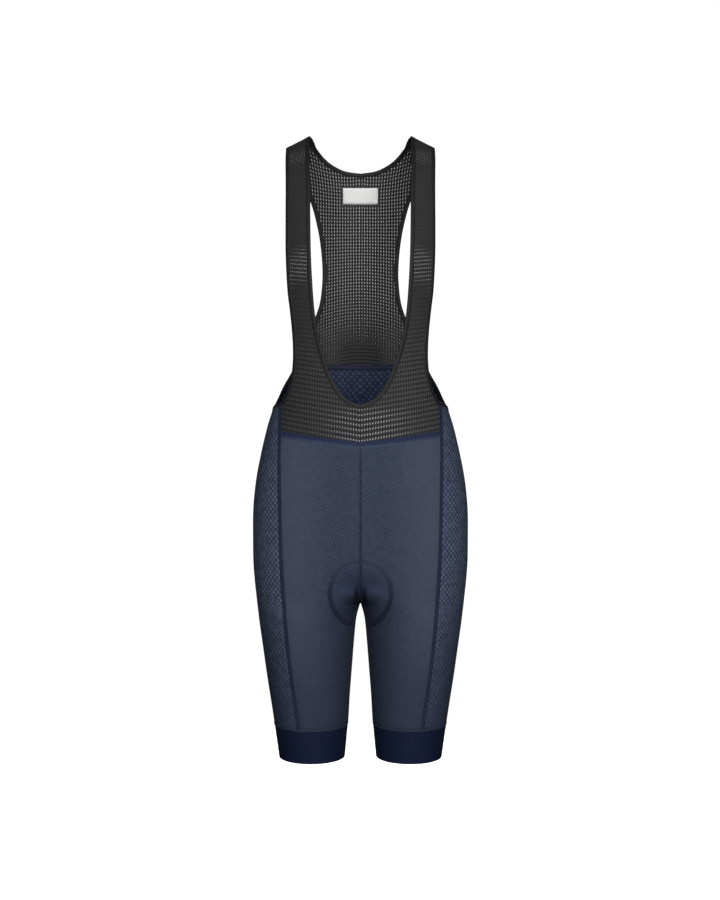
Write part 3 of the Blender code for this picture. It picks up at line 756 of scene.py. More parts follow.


# The front's 0.6 and the side's 0.75 set how strongly painted shade darkens each knit towards the hem.
KNIT_FRONT = cloth_material("front knit", 0.75, 0.01, knit_recipe(
    (57, 63, 80), (42, 49, 66), (0.0058, 0.0062), 0.00006, 0.6, 0.2, True), 0.08)
KNIT_SIDE = cloth_material("side knit", 0.75, 0.005, knit_recipe(
    (84, 91, 111), (43, 50, 69), (0.0084, 0.0088), 0.00012, 0.75, -0.1), 0.05)
KNIT_YOKE = cloth_material("yoke knit", 0.62, 0.03, knit_recipe(
    (50, 64, 100), (7, 12, 30), (0.0093, 0.0104), 0.0001))
KNIT_PLAIN = cloth_material("plain knit", 0.62, 0.03, knit_recipe(
    (25, 32, 54), (20, 26, 46), (0.0022, 0.0024), 0.00005))
BAND_KNIT = cloth_material("band knit", 0.65, 0.005, knit_recipe(
    (22, 30, 56), (17, 24, 47), (0.0022, 0.0028), 0.00004), 0.08)

# %% Nets
FRONT_MESH = (0.0043, 0.0031)
BACK_MESH = (0.0044, 0.0056)


def front_net_recipe(across, down, x, y, z):
    """Fine ribs and bars, more open where stretched most; painted light gives pale dots at the meshes and
    a lighter left half.
    """
    wide, high = FRONT_MESH
    rib = (down - 0.5 * high).ribs(2 * high)
    rib = rib * rib
    bar = (across - 0.5 * wide).ribs(wide)
    stretched = z.step(-0.24, -0.38)
    light = rib * (0.16 + bar * 0.44) + bar * 0.26 + 0.04
    # painted light: the net is lighter on the left half, x above 0, as though lit from that side
    light = light * (0.9 + x.step(-0.02, 0.09) * 0.35)
    light = light * (0.16 + stretched * 0.84) + (1.0 - stretched) * 0.17
    shade = light.mix((21, 21, 22), (71, 71, 72))
    inner = x.absolute().step(0.114, 0.088)
    strap = (z + 0.211 - inner * 0.010).absolute().step(0.034, 0.010) * (0.45 + inner * 0.45)
    strap = strap + (z + 0.032).absolute().step(0.016, 0.004) * 0.4
    dots = rib * bar * bar
    # painted light: pale dots at the meshes, where the bright backdrop shows through, on the straps and in
    # the bib's middle
    shade = ((dots * bar).step(0.30, 0.95) * strap).mix(shade, (190, 190, 191))
    middle = (x - 0.012).absolute().step(0.080, 0.005) * (z + 0.443).absolute().step(0.038, 0.014)
    shade = (dots.step(0.30, 1.0) * middle * y.step(-0.04, -0.06)).mix(shade, (172, 172, 172))
    return shade, down.wave(0.0009) * across.wave(0.0012) * 0.00003


def back_net_recipe(across, down, x, y, z):
    """Dark ribs and bars with pale colour between, painted light from the backdrop behind the holes;
    closed up near the yoke.
    """
    wide, high = BACK_MESH
    rib, bar = down.ribs(high), across.ribs(wide)
    low = z.step(-0.25, -0.32)
    open_share = 1.0 - low * (1.0 - x.absolute().step(0.02, 0.05) * 0.5)
    # painted light: the pale colour between ribs and bars stands in for the backdrop seen through the
    # holes
    light = (1.0 - bar) * (0.36 + (1.0 - rib) * 0.64) * open_share * 0.62 + rib * low * 0.17
    shade = light.mix((18, 18, 19), (104, 104, 105))
    return shade, down.wave(0.0009) * across.wave(0.0012) * 0.00003


NET_FRONT = cloth_material("front net yarn", 0.75, 0.015, front_net_recipe)
NET_BACK = cloth_material("back net yarn", 0.75, 0.015, back_net_recipe)


# %% Trim
def binding_recipe(across, down, x, y, z):
    rib = across.ribs(0.0012)
    return rib.mix((19, 19, 20), (32, 32, 34)), rib * 0.00005


def waist_tape_recipe(across, down, x, y, z):
    """A fuzzy tape whose lower edge is overlocked in waves with the knit's own colour."""
    fuzz = uneven(x, y, z, 900.0)
    waves = down.wave(0.0052) * 0.0009 + (fuzz - 0.5) * 0.0016
    navy = (across - 0.0042 - waves).step(-0.0010, 0.0014)
    tape = (fuzz * 0.8).mix((25, 32, 56), (44, 52, 77))
    return navy.mix((60, 68, 88), tape), fuzz * 0.00012


def seam_recipe(across, down, x, y, z):
    """A flat seam: a smooth navy middle and darker thread along both sides."""
    edge = (across - 0.0032).absolute().step(0.0010, 0.0020)
    zigzag = (down + across).ribs(0.0024)
    return (edge * (0.5 + zigzag * 0.3)).mix((36, 42, 61), (20, 25, 41)), zigzag * edge * 0.0001


def thread_recipe(dark, light):
    """Smooth thread, unevenly dyed between two colours."""
    def recipe(across, down, x, y, z):
        return uneven(x, y, z, 400.0).mix(dark, light), None
    return recipe


def label_recipe(across, down, x, y, z):
    weave = across.wave(0.0007) * down.wave(0.0007)
    return weave.step(-1.0, 1.0).mix((205, 205, 204), (217, 217, 216)), weave * 0.00003


BINDING = cloth_material("binding elastic", 0.6, 0.02, binding_recipe)
WAIST_TAPE = cloth_material("waist tape", 0.75, 0.02, waist_tape_recipe, 0.08)
FLAT_SEAM = cloth_material("flat seam", 0.7, 0.01, seam_recipe, 0.08)
THREAD = cloth_material("thread", 0.6, 0.01, thread_recipe((11, 15, 30), (16, 21, 38)), 0.1)
SEAM_THREAD = cloth_material("seam thread", 0.6, 0.01, thread_recipe((22, 28, 45), (35, 42, 61)), 0.1)
LABEL = cloth_material("label satin", 0.45, 0.02, label_recipe)
print("materials:", ", ".join(material.name for material in bpy.data.materials))

# %% [markdown]
# ## Ribbons and stitches
# Bindings, tapes and flat seams are ribbons: one outline carried along a line on the
# form. Stitches are short raised bars set along a line at an even pitch.

# %% Carrying an outline along a line
RIBBON_PITCH, STITCH_PITCH, STITCH_TAPER = 0.004, 0.0030, 0.35
PLAIN_STITCH, FLAT_STITCH = (0.0021, 0.0005, 0.0005), (0.0018, 0.0009, 0.0005)
TAPE_STITCH = (0.0026, 0.0006, 0.0004)


def moved_in(line, width):
    """The line moved across the cloth by a width, to the left seen from outside."""
    result = []
    last = len(line) - 1
    for index, (turn, section) in enumerate(line):
        before, after = skin(*line[max(index - 1, 0)]), skin(*line[min(index + 1, last)])
        along, down = slopes(turn, section)
        across = down.cross(along).normalized().cross(after - before).normalized() * width
        aa, ab, bb = along.dot(along), along.dot(down), down.dot(down)
        ca, cb = across.dot(along), across.dot(down)
        area = aa * bb - ab * ab
        result.append((turn + (ca * bb - cb * ab) / area, section + (cb * aa - ca * ab) / area))
    return result


def on_side(line, sign):
    """The line on the left half for 1, and on the right half for -1."""
    return [(turn * sign, section) for turn, section in line]


def on_cloth(line, sign=1):
    return [on_form(*pair) for pair in on_side(line, sign)]


def both_halves(half):
    """One line on the cloth from the right half over the centre to the left half."""
    return on_cloth(half[::-1], -1)[:-1] + on_cloth(half)


def spaced(path, pitch, closed=False):
    """Points and normals at an even pitch along a path."""
    path = list(path) + ([path[0]] if closed else [])
    lengths = running_length([point for point, _ in path])
    places = even_places(lengths, max(2, round(lengths[-1] / pitch)) + 1)
    result = []
    for place, part in places[:-1] if closed else places:
        (point, normal), (next_point, next_normal) = path[place], path[place + 1]
        result.append((point.lerp(next_point, part), normal.lerp(next_normal, part).normalized()))
    return result


def frames_along(path, closed=False):
    """(point, along, across, normal) at each point; across is to the left seen from outside."""
    last = len(path) - 1
    result = []
    for index, (point, normal) in enumerate(path):
        before = path[index - 1 if index or closed else 0][0]
        after = path[(index + 1) % len(path) if closed else min(index + 1, last)][0]
        along = (after - before).normalized()
        across = normal.cross(along).normalized()
        result.append((point, along, across, along.cross(across).normalized()))
    return result


def ribbon(name, path, outline, material, replaces=(), closed=False, pitch=RIBBON_PITCH):
    """A solid ribbon: an outline of (across, height) corners carried along a path."""
    frames = frames_along(spaced(path, pitch, closed) if pitch else path, closed)
    frames += frames[:1] if closed else []
    rim = list(outline) + [outline[0]]
    mesh, rows = flat_grid(len(rim) - 1, len(frames) - 1)
    girth = [0.0]
    for (a, b), (c, d) in zip(rim, rim[1:]):
        girth.append(girth[-1] + math.hypot(c - a, d - b))
    lengths = running_length([point for point, *_ in frames])
    uv = {}
    for row, (point, along, across, normal), length in zip(rows, frames, lengths):
        for corner, (aside, height), round_it in zip(row, rim, girth):
            corner.co = point + across * aside + normal * height
            uv[corner] = (round_it, length)
    keep_uv(mesh, uv)
    if not closed:
        for row in (rows[0], rows[-1]):
            mesh.faces.new(row[:-1])
    bmesh.ops.remove_doubles(mesh, verts=mesh.verts[:], dist=0.00001)
    return finished(name, mesh, material, replaces)


def flat_outline(low, high, base, top, edge=0.0006):
    """A flat ribbon's outline with rounded edges, from low to high across."""
    return [(low, base + edge), (low, top - edge), (low + edge, top), ((low + high) / 2, top),
            (high - edge, top), (high, top - edge), (high, base + edge), (high - edge, base),
            ((low + high) / 2, base), (low + edge, base)]


def stitches(name, paths, material=THREAD, size=PLAIN_STITCH, pitch=STITCH_PITCH,
             slant=0.0, closed=False, lift=0.0002):
    """Rows of stitches: raised bars of (length, width, height) along some paths."""
    mesh = bmesh.new()
    long, wide, high = size
    for path in paths:
        for point, along, across, normal in frames_along(spaced(path, pitch, closed), closed):
            turned = (along * math.cos(slant) + across * math.sin(slant)).normalized()
            aside = normal.cross(turned)
            bar = Matrix((turned * long, aside * wide, normal * high)).transposed().to_4x4()
            bar.translation = point + normal * lift
            made = bmesh.ops.create_cube(mesh, size=1.0, matrix=bar)["verts"]
            for vertex in made:
                local = vertex.co - bar.translation
                if local.dot(normal) > 0:
                    vertex.co = bar.translation + local - turned * local.dot(turned) * STITCH_TAPER
    mesh.loops.layers.uv.new("cloth")
    return finished(name, mesh, material)


print("a ribbon's outline has", len(flat_outline(0, 1, 0, 1)), "corners")

# %% [markdown]
# ## The nets
# The bib and the back are warp-knitted nets: firm ribs across with thin bars between,
# and a small mesh between them, which is open where the net is stretched and closed to a
# dimple elsewhere. Each is one piece of net. A flat grid has one cell for each mesh of the
# net, and the cells outside the piece's outline are taken away under the bindings.

# %% Cutting a net
NET_WALL = 0.0009
UNDER_BINDING = 0.0034
BLIND, BLIND_HIGH, DIMPLE = 0.06, 0.3, 0.00015


def inside_polygon(x, y, polygon):
    inside = False
    for (x1, y1), (x2, y2) in zip(polygon, polygon[1:] + polygon[:1]):
        if (y1 > y) != (y2 > y) and x < x1 + (x2 - x1) * (y - y1) / (y2 - y1):
            inside = not inside
    return inside


def far_from(point, edge_points, distance):
    return all((point - other).length_squared > distance * distance for other in edge_points)


def mix_corners(corners, across, down):
    """A value between the four corners of a cell: upper left, upper right, lower right, lower left."""
    upper = corners[0] * (1 - across) + corners[1] * across
    lower = corners[3] * (1 - across) + corners[2] * across
    return upper * (1 - down) + lower * down


def net(name, across, down, pitch, place, polygon, edges, hole, material, replaces, ribbed=False):
    """A net from a grid of cells. place gives a corner's turn and section, and hole the
    (width, height) of a cell's hole as shares. A ribbed net has holes in every second row."""
    mesh, rows = flat_grid(across, down)
    uv, spot = {}, {}
    for j, row in enumerate(rows):
        for i, corner in enumerate(row):
            spot[corner] = place(i - across // 2, j)
            corner.co = on_form(*spot[corner])[0]
            uv[corner] = Vector(((i - across // 2) * pitch[0], j * pitch[1]))
    edge_points = [on_form(*pair)[0] for edge in edges for pair in edge]
    dropped = []
    for face in mesh.faces:
        pairs = [spot[corner] for corner in face.verts]
        turn = sum(pair[0] for pair in pairs) / 4
        section = sum(pair[1] for pair in pairs) / 4
        centre = face.calc_center_median()
        flat_turn = 2 - turn if turn > 1 else abs(turn)
        kept = inside_polygon(flat_turn, section, polygon)
        near = Vector((abs(centre.x), centre.y, centre.z))
        if not kept or not far_from(near, edge_points, UNDER_BINDING):
            dropped.append(face)
    bmesh.ops.delete(mesh, geom=dropped, context="FACES")
    mesh.normal_update()
    facing = sum(face.normal.dot(on_form(*spot[face.verts[0]])[1]) for face in mesh.faces)
    if facing < 0:
        bmesh.ops.reverse_faces(mesh, faces=mesh.faces[:])
    cells = []
    for face in mesh.faces:
        if ribbed and round(min(uv[corner].y for corner in face.verts) / pitch[1]) % 2:
            continue
        corners = sorted(face.verts, key=lambda corner: (uv[corner].y, uv[corner].x))
        corners = [corners[0], corners[1], corners[3], corners[2]]
        pair = [sum(spot[corner][axis] for corner in corners) / 4 for axis in (0, 1)]
        places = [corner.co.copy() for corner in corners]
        cells.append((face, places, [uv[corner] for corner in corners], pair))
    bmesh.ops.inset_individual(mesh, faces=[cell[0] for cell in cells], thickness=0.0003)
    holes = []
    for face, corners, flat, pair in cells:
        wide, high = hole(*pair)
        if high > BLIND:
            holes.append(face)
        else:
            high = BLIND_HIGH
        for vertex in face.verts:
            nearest = min(range(4), key=lambda n: (corners[n] - vertex.co).length_squared)
            aside = 0.5 + (wide / 2 if nearest in (1, 2) else -wide / 2)
            under = 0.5 + (high / 2 if nearest in (2, 3) else -high / 2)
            vertex.co = mix_corners(corners, aside, under) - face.normal * DIMPLE
            uv[vertex] = mix_corners(flat, aside, under)
    bmesh.ops.delete(mesh, geom=holes, context="FACES_ONLY")
    keep_uv(mesh, uv)
    print(name, "has", len(cells), "meshes, and", len(holes), "of them are open")
    return piece_of(name, mesh, material, replaces, NET_WALL)


# %% [markdown]
# The front net is the bib and both straps in one. Its ribs slope down to the centre,
# steeper near the waist, and its bars run straight up over the shoulders. The straps are
# stretched over the chest and at the shoulders, where the holes stand open.

# %% Front net
FRONT_COLUMNS, FRONT_ROWS = 80, 180
HIDDEN_WAIST = 0.0045
ROW_TOP, ROW_GROWTH = 0.00242, 0.0000000177
NARROW_SHARE, WIDE_SHARE, WIDENS = 0.78, 0.95, (0.25, 0.43)
RIB_SLOPE, WAIST_SLOPE, WAIST_RUN = 0.08, 0.09, 0.45
CHEST_ZONE, SHOULDER_ZONE, SHOULDER_SHARE = (-0.204, 0.044), (-0.040, 0.022), 0.6


def front_place(i, j):
    row = j - 3
    run = ROW_TOP * row + ROW_GROWTH * row ** 3
    spread = eased(run, *WIDENS)
    arc = i * FRONT_MESH[0] * (NARROW_SHARE + (WIDE_SHARE - NARROW_SHARE) * spread)
    run += (RIB_SLOPE + WAIST_SLOPE * run / WAIST_RUN) * (FRONT_PLUMB - abs(arc))
    section = section_of(run)
    return math.copysign(turn_of(abs(arc), section), i), section


def bump_share(value, centre, reach):
    """1 at the centre and 0 beyond the reach, smoothly."""
    return math.cos(min(1.0, abs(value - centre) / reach) * math.pi / 2) ** 2


def front_hole(turn, section):
    height = skin(abs(turn), section).z
    share = bump_share(height, *CHEST_ZONE) + SHOULDER_SHARE * bump_share(height, *SHOULDER_ZONE)
    return 0.12, 0.36 * share


waist = waist_line(HIDDEN_WAIST)
under_arm = arm_front[-1][1] - waist[-1][1]
side_part = [waist[-1][1] + under_arm * n / 8 for n in range(1, 9)]
side_part = [(seam_turn(section), section) for section in side_part]
bib_front = net("bib_front_net", FRONT_COLUMNS, FRONT_ROWS, FRONT_MESH, front_place,
                neck_front + waist + side_part + arm_front[::-1],
                (neck_front, even(arm_front, 200)), front_hole, NET_FRONT, ("bib_front",), ribbed=True)

# %% [markdown]
# The back net hangs from the shoulders to the yoke. Near the neck its ribs follow the
# neck's curve, and lower down they arch the other way. Its bars fan out to the shoulders.

# %% Back net
BACK_COLUMNS, BACK_ROWS = 62, 78
LABEL_SIZE, LABEL_HEIGHT = (0.056, 0.025), -0.0705
BACK_LENGTH, BACK_FAN, BACK_FAN_LENGTH = 0.33, 0.60, 0.13
NECK_BEND, YOKE_BEND, BEND_REACH = -0.030, 0.012, 0.11
UNDER_LABEL = (0.0300, 0.0145)
HIDDEN_SEAM = 0.0055


def back_place(i, j):
    run = (j - 2) * BACK_MESH[1]
    share = limited(run / BACK_LENGTH)
    fan = max(0.0, 1 - max(0.0, run) / BACK_FAN_LENGTH) ** 2
    distance = abs(i) * BACK_MESH[0] * (1 + BACK_FAN * fan)
    bend = NECK_BEND * (1 - share) ** 2 + YOKE_BEND * share
    run += bend * (min(distance, BEND_REACH) ** 2 - BACK_PLUMB ** 2) / BACK_PLUMB ** 2
    section = section_of(run, back_plumb)
    half = arc_of(1.0, section)
    turn = turn_of(half - distance, section)
    return (2 - turn if i < 0 else turn), section


def back_hole(turn, section):
    point = skin(min(turn, 2 - turn), section)
    edge = limited((abs(point.x) - 0.02) / 0.03)
    top = limited((point.z + 0.320 + 0.025 * edge) / 0.11)
    if abs(point.x) < UNDER_LABEL[0] and abs(point.z - LABEL_HEIGHT) < UNDER_LABEL[1]:
        return 0.1, 0.0
    return 0.08, 0.44 * top


def first_where(line, test, start=0):
    """Index of a line's first place, from start on, for which the test is true."""
    return next(n for n, pair in enumerate(line) if n >= start and test(*pair))


yoke_end = first_where(armhole, lambda turn, section: turn > YOKE_END_TURN)
net_end = first_where(armhole, lambda turn, section: skin(turn, section).z > YOKE_TOP, yoke_end)
seam_hidden = (1.0, at_height(1.0, YOKE_TOP - HIDDEN_SEAM))
back_outline = neck_back + [seam_hidden, (armhole[net_end][0], seam_hidden[1])] + armhole[net_end:]
back_net = net("back_net_cloth", BACK_COLUMNS, BACK_ROWS, BACK_MESH, back_place, back_outline,
               (neck_back, armhole[net_end:]), back_hole, NET_BACK, ("back_net",))

# %% [markdown]
# ## The knit panels
# The yoke, the two fronts and the two sides are cut from patterned knits. Each panel's
# grid fills the space between its four seams. The cloth is stretched over the body, so
# each front has only one shallow fold, drawn as a soft trough.

# %% Panels
KNIT_WALL = 0.0010
FRONT_ACROSS, PANEL_DOWN = 34, 92
TUCK, BAND_OVERLAP, ARM_FRONT_END = 0.0035, 0.05, 61
SIDES = (("left", 1), ("right", -1))
FOLD_START, FOLD_END, FOLD_WIDTH, FOLD_DEPTH = (0.100, 0.560), (0.130, 0.620), 0.012, 0.0006

tucked = moved_in(armhole, -TUCK)
front_band = at_height(0.5, BAND_TOP)
yoke_middle_top, yoke_middle_low = (1.0, at_height(1.0, YOKE_TOP)), (1.0, at_height(1.0, YOKE_LOW))


def yoke_rows():
    right = even(tucked[yoke_end:net_end + 1][::-1], 24)
    drop = yoke_middle_low[1] - yoke_middle_top[1]
    left = [(1.0, yoke_middle_top[1] + drop * n / 23) for n in range(24)]
    top = even([left[0], right[0]], 26)
    bottom = even([left[-1], right[-1]], 26)
    half = patch(top, bottom, left, right)
    return [[(2 - turn, section) for turn, section in row[:0:-1]] + row for row in half]


yoke = laid("yoke", yoke_rows(), KNIT_YOKE, ("back_yoke",), KNIT_WALL)


def even_sections(high, low, count):
    """Sections whose places down the front are evenly apart."""
    start, end = length_of(high), length_of(low)
    return [section_of(start + (end - start) * n / (count - 1)) for n in range(count)]


def front_fold(turn, section):
    """The front's one fold: how far the cloth sinks in a soft trough between two places."""
    across, down = cloth_uv(turn, section)
    x, y = abs(across) - FOLD_START[0], down - FOLD_START[1]
    over, along = FOLD_END[0] - FOLD_START[0], FOLD_END[1] - FOLD_START[1]
    part = (x * over + y * along) / (over * over + along * along)
    aside = math.hypot(x - over * part, y - along * part) / FOLD_WIDTH
    if not -0.2 < part < 1.2 or aside >= 3:
        return 0.0
    return -FOLD_DEPTH * math.exp(-aside * aside) * bump_share(part, 0.5, 0.7)


def below_seam(turn, section):
    point = skin(turn, section)
    return point.x > seam_distance(point.z)


def seams_down(start, centre, centre_start, rows):
    """A panel's side seam and centre seam, as far down as the bands' upper edge."""
    sections = even_sections(start, front_band + BAND_OVERLAP, rows + 1)
    share = (sections[-1] - centre_start) / (sections[-1] - sections[0])
    middle = [(centre, sections[-1] - (sections[-1] - section) * share) for section in sections]
    return [(seam_turn(section), section) for section in sections], middle


def front_rows():
    top = waist_line(HIDDEN_WAIST, FRONT_ACROSS + 1)
    right, left = seams_down(top[-1][1], 0.0, top[0][1], PANEL_DOWN)
    return patch(top, even([left[-1], right[-1]], FRONT_ACROSS + 1), left, right)


def side_rows():
    over = tucked[:yoke_end + 1]
    over = even(over[first_where(over, below_seam, ARM_FRONT_END):], 15)
    top = over + even([over[-1], yoke_middle_low], 40)[1:]
    left, right = seams_down(top[0][1], 1.0, yoke_middle_low[1], PANEL_DOWN + 7)
    left[0] = top[0]
    return patch(top, even([left[-1], right[-1]], len(top)), left, right)


fronts, sides = [], []
front_half, side_half = front_rows(), side_rows()
for side, sign in SIDES:
    rows = [on_side(row, sign) for row in front_half]
    fronts.append(laid("front_" + side + "_knit", rows, KNIT_FRONT, ("front_" + side,),
                       KNIT_WALL, form=front_fold, place=panel_uv))
    rows = [on_side(row, sign) for row in side_half]
    sides.append(laid("side_" + side + "_knit", rows, KNIT_SIDE, ("side_" + side,),
                      KNIT_WALL, place=panel_uv))
print("each side panel has", len(sides[0].data.polygons), "faces")

# %% [markdown]
# ## Bindings, tape and seams
# A soft elastic is folded over the neck and the armholes and sewn through. A narrow tape
# covers the seam between the net and the shorts, and flat seams join the panels.

# %% Bindings
BINDING_OUTLINE = flat_outline(0.0, BINDING_WIDTH, -0.0016, 0.0004, 0.0007)
OUTER_OUTLINE = [(-across, height) for across, height in BINDING_OUTLINE]
half_neck = neck_back[::-1] + neck_front[1:]
neck_path = on_cloth(half_neck) + on_cloth(half_neck[::-1], -1)[1:-1]
neck_binding = ribbon("neck_elastic", neck_path, BINDING_OUTLINE, BINDING,
                      ("neck_binding",), closed=True)
arm_paths = {"left": on_cloth(armhole)[:-1], "right": on_cloth(armhole[::-1], -1)[:-1]}
for side, sign in SIDES:
    ribbon("armhole_elastic_" + side, arm_paths[side], OUTER_OUTLINE, BINDING,
                               ("armhole_binding_" + side,), closed=True)

# %% Waist tape
tape_path = both_halves(waist_line(TAPE_WIDTH / 2))
waist_tape = ribbon("waist_tape_cloth", tape_path, flat_outline(-0.0049, 0.0049, -0.0012, 0.0003, 0.0002),
                    WAIST_TAPE, ("waist_tape",))

# %% Leg bands
BAND_COLUMNS = 120
BAND_WALL = 0.0016


def band_rows():
    """(height, lift) down the outside, round the fold, up the inside and over the top."""
    half = BAND_WALL / 2
    low = SECTIONS[-1][0] * MM
    rows = [(BAND_TOP, -BAND_WALL), (BAND_TOP, 0.0)]
    rows += [(BAND_TOP + (low + half - BAND_TOP) * n / 12, 0.0) for n in range(1, 13)]
    for angle in [math.pi * n / 6 for n in range(1, 6)]:
        rows.append((low + half * (1 - math.sin(angle)), half * (math.cos(angle) - 1)))
    rows += [(low + half + (BAND_TOP - low - half) * n / 12, -BAND_WALL) for n in range(12)]
    return rows + rows[:1]


def round_leg(height, sign):
    """A level line round one leg."""
    turns = [0.999 * n / BAND_COLUMNS for n in range(BAND_COLUMNS)]
    return [on_form(math.copysign(turn, sign), at_height(turn, height)) for turn in turns]


for side, sign in SIDES:
    profile = band_rows()
    mesh, grid = flat_grid(BAND_COLUMNS, len(profile) - 1)
    uv = {}
    for line, (height, lift) in zip(grid, profile):
        for n, corner in enumerate(line):
            turn = n / BAND_COLUMNS * 0.999999
            section = at_height(turn, height)
            corner.co = on_form(math.copysign(turn, sign), section, lift)[0]
            uv[corner] = (arc_of(turn, section), length_of(section))
    keep_uv(mesh, uv)
    bmesh.ops.remove_doubles(mesh, verts=mesh.verts[:], dist=0.00002)
    finished("leg_band_" + side + "_knit", mesh, BAND_KNIT, ("leg_band_" + side,))

# %% Folds above the bands
FOLD_OUTLINE = flat_outline(-0.0012, 0.0012, -0.0008, 0.0007, 0.0004)
folds = [ribbon("hem_fold_" + side, round_leg(BAND_TOP + 0.0008, sign), FOLD_OUTLINE, KNIT_FRONT,
                closed=True, pitch=None) for side, sign in SIDES]
print("the folds above the bands have", len(folds[0].data.polygons), "faces each")

# %% Flat seams
SEAM_OUTLINE = flat_outline(-0.0029, 0.0029, -0.0002, 0.0006, 0.0003)
THIN_OUTLINE = flat_outline(-0.0012, 0.0012, -0.0002, 0.0004, 0.0002)
SHOULDER_OUTLINE = flat_outline(-0.003, 0.003, -0.0015, 0.0004)
seam_top = armhole[first_where(armhole, below_seam, ARM_FRONT_END)][1] + 0.15
tape_low = waist_line(TAPE_WIDTH)[0][1]
side_seam = [(seam_turn(s), s) for s in even_sections(seam_top, front_band, 120)]
centre_front = [(0.0, s) for s in even_sections(tape_low, float(CROTCH), 60)]
centre_back = [(1.0, s) for s in even_sections(yoke_middle_low[1], float(CROTCH), 60)]
inseam = [(0.0, s) for s in even_sections(float(CROTCH), front_band, 60)]
for side, sign in SIDES:
    ribbon("side_seam_" + side, on_cloth(side_seam, sign), SEAM_OUTLINE, FLAT_SEAM)
    ribbon("inseam_" + side, on_cloth(inseam, sign), THIN_OUTLINE, SEAM_THREAD)
for name, line in (("centre_front_seam", centre_front), ("centre_back_seam", centre_back)):
    ribbon(name, on_cloth(line), THIN_OUTLINE, SEAM_THREAD)
for name, start, end, low, high in (
        ("yoke_low_seam", yoke_middle_low, tucked[yoke_end], -0.0025, 0.0025),
        ("yoke_top_band", yoke_middle_top, tucked[net_end], -0.0012, 0.0070)):
    outline = flat_outline(low, high, -0.0018, 0.0004, 0.0003)
    ribbon(name, both_halves(even([start, end], 60)), outline, KNIT_PLAIN)
for side, sign in SIDES:
    turns = [shoulder_turn(SHOULDER_INNER + (SHOULDER_OUTER - SHOULDER_INNER) * n / 12) for n in range(13)]
    points = [on_form(math.copysign(turn, sign), 0.0) for turn in turns]
    ribbon("shoulder_seam_" + side, points, SHOULDER_OUTLINE, BINDING, pitch=None)

# %% [markdown]
# ## Stitching
# The seams are sewn with fine thread: a zigzag over the tape and along both sides of the
# flat seams, and plain rows on the bindings, the leg bands and round the pad.

# %% Stitches
def crotch_place(distance, height, back):
    """Turn and section of a point near the crotch, seen from the front or the back."""
    def turn_at(section):
        turn = found(lambda t: skin(1 - t if back else t, section).x < distance, 0.0, 0.3, 24)
        return 1 - turn if back else turn
    section = found(lambda s: skin(turn_at(s), s).z > height, CROTCH - 8.0, CROTCH + 4.0, 24)
    return turn_at(section), section


# For each half of the pad: its top's height, half its width, and the heights of its widest
# place and of its end.
PAD_EDGE = {"front": (-0.642, 0.0455, -0.687, -0.734), "back": (-0.606, 0.066, -0.665, -0.734)}
PAD_POINTS = 40


def pad_outline(side):
    """The pad's edge on the left half, from its top to the inseam."""
    top, reach, middle, bottom = PAD_EDGE[side]
    back = side == "back"
    centre = 1.0 if back else 0.0
    line = [(centre, at_height(centre, top))]
    for number in range(1, PAD_POINTS - 1):
        angle = math.pi * number / (PAD_POINTS - 1)
        rise = (top - middle) if angle < math.pi / 2 else (middle - bottom)
        line.append(crotch_place(reach * math.sin(angle), middle + rise * math.cos(angle), back))
    return line + [(centre, at_height(0.0, bottom))]


def beside_path(path, aside, closed=False):
    return [(point + across * aside, normal) for point, _, across, normal in frames_along(path, closed)]


BINDING_ROW, PAD_ROW = BINDING_WIDTH - 0.0013, 0.0032
SEAM_ROWS, TAPE_ROWS = (-0.0023, 0.0023), (-0.0030, 0.0036)
HEM_LIFT, HEM_GAP = 0.003, 0.0025
pad_lines = [pad_outline("front"), pad_outline("back")]
for side, sign in SIDES:
    paths = [on_cloth(line, sign) for line in pad_lines]
    paths += [beside_path(path, PAD_ROW * sign) for path in paths]
    stitches("pad_stitches_" + side, paths, lift=0.0)
    paths = [beside_path(on_cloth(side_seam, sign), aside) for aside in SEAM_ROWS]
    stitches("side_seam_stitches_" + side, paths, SEAM_THREAD, FLAT_STITCH,
                                    0.0022, slant=0.5, lift=0.0006)
    hem = round_leg(BAND_TOP + HEM_LIFT, sign)
    paths = [hem, [(point + Vector((0, 0, HEM_GAP)), normal) for point, normal in hem]]
    stitches("hem_stitches_" + side, paths, closed=True)
    paths = [beside_path(arm_paths[side], -BINDING_ROW, True)]
    stitches("armhole_stitches_" + side, paths, BINDING,
                                       closed=True, lift=0.0005)
paths = [beside_path(tape_path, aside) for aside in TAPE_ROWS]
stitches("tape_stitches", paths, SEAM_THREAD, TAPE_STITCH, 0.0026, slant=0.9,
                        lift=0.0003)
paths = [beside_path(neck_path, BINDING_ROW, True)]
stitches("neck_stitches", paths, BINDING, closed=True, lift=0.0005)

# %% [markdown]
# ## Pad and label
# The pad is foam in a soft cover, sewn inside the crotch: thick in the middle, thin at its
# edge, with a channel down its centre and two beside it. The label is a bare white ribbon
# sewn inside the back of the neck.

# %% Seat pad
PAD_WALL, PAD_LIFT, THINNEST = 0.0050, -0.0034, 0.1
PAD_DOWN, PAD_AROUND = 36, 16


def pad_rows(side):
    """A quarter of the pad, from the centre line out to its edge."""
    back = side == "back"
    centre = 1.0 if back else 0.0
    outline = pad_outline(side)
    high, low = outline[0][1], outline[-1][1]
    spine = [(centre, high + (low - high) * n / (PAD_DOWN - 1)) for n in range(PAD_DOWN)]
    rim = even(outline, PAD_DOWN + 2 * (PAD_AROUND - 1))
    top, right = rim[:PAD_AROUND], rim[PAD_AROUND - 1:PAD_AROUND - 1 + PAD_DOWN]
    return patch(top, rim[PAD_AROUND - 2 + PAD_DOWN:][::-1], spine, right)


def pad_fullness(aside, down):
    """How thick the pad is, from its centre line (0) to its edge (1) and down its length."""
    edge = min(1.0, (1 - aside) / 0.25, down / 0.12)
    channel = 0.35 * math.exp(-(aside / 0.10) ** 2) + 0.25 * math.exp(-((aside - 0.55) / 0.08) ** 2)
    return 0.35 + 0.65 * edge * (1 - channel)


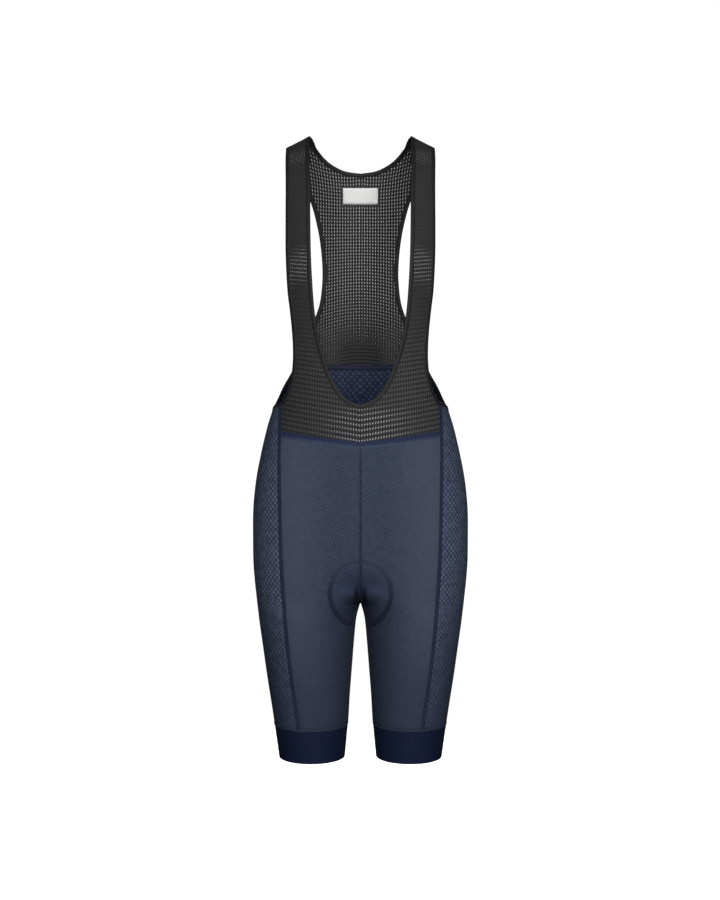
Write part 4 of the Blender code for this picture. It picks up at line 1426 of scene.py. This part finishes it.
mesh = bmesh.new()
thick = mesh.verts.layers.deform.verify()
weights, uv = {}, {}
for side in ("front", "back"):
    rows = pad_rows(side)
    for sign in (1, -1):
        before = set(mesh.verts)
        bmesh.ops.create_grid(mesh, x_segments=len(rows[0]) - 1, y_segments=len(rows) - 1, size=0.5)
        corners = [vertex for vertex in mesh.verts if vertex not in before]
        places = [(i, j) for i in range(len(rows)) for j in range(len(rows[0]))]
        for corner, (i, j) in zip(corners, places):
            turn, section = rows[i][j]
            corner.co = on_form(math.copysign(turn, sign), section, PAD_LIFT)[0]
            if j == 0 and section < CROTCH:
                corner.co.x = 0.0
            weights[corner] = pad_fullness(j / (len(rows[0]) - 1), i / (len(rows) - 1))
            uv[corner] = cloth_uv(math.copysign(turn, sign), section)
keep_uv(mesh, uv)
for corner, weight in weights.items():
    corner[thick][0] = weight
bmesh.ops.remove_doubles(mesh, verts=mesh.verts[:], dist=0.00002)
bmesh.ops.recalc_face_normals(mesh, faces=mesh.faces[:])
mesh.faces.ensure_lookup_table()
rearmost = max(mesh.faces, key=lambda face: face.calc_center_median().y)
if rearmost.normal.y < 0:
    bmesh.ops.reverse_faces(mesh, faces=mesh.faces[:])
pad = piece_of("pad_foam", mesh, KNIT_PLAIN, ("seat_pad",), PAD_WALL)
pad.vertex_groups.new(name="fullness")
pad.modifiers["wall"].vertex_group = "fullness"
pad.modifiers["wall"].thickness_vertex_group = THINNEST
print("the pad has", len(pad.data.polygons), "faces")

# %% Label
LABEL_ROWS, LABEL_COLUMNS = 6, 8
label_rows = []
for n in range(LABEL_ROWS + 1):
    height = LABEL_HEIGHT + LABEL_SIZE[1] * (0.5 - n / LABEL_ROWS)
    half = [locate(LABEL_SIZE[0] / 2 * m / LABEL_COLUMNS, height, True) for m in range(LABEL_COLUMNS + 1)]
    label_rows.append([(2 - turn, section) for turn, section in half[:0:-1]] + half)
label = laid("label_ribbon", label_rows, LABEL, ("neck_label",), 0.0006, lift=-0.0016)

# %% [markdown]
# ## The neck's length
# Last, the script prints how long the neck edge is, all round.

# %% The neck's length
print("the neck edge is", round(running_length([point for point, _ in neck_path])[-1], 3), "m round")
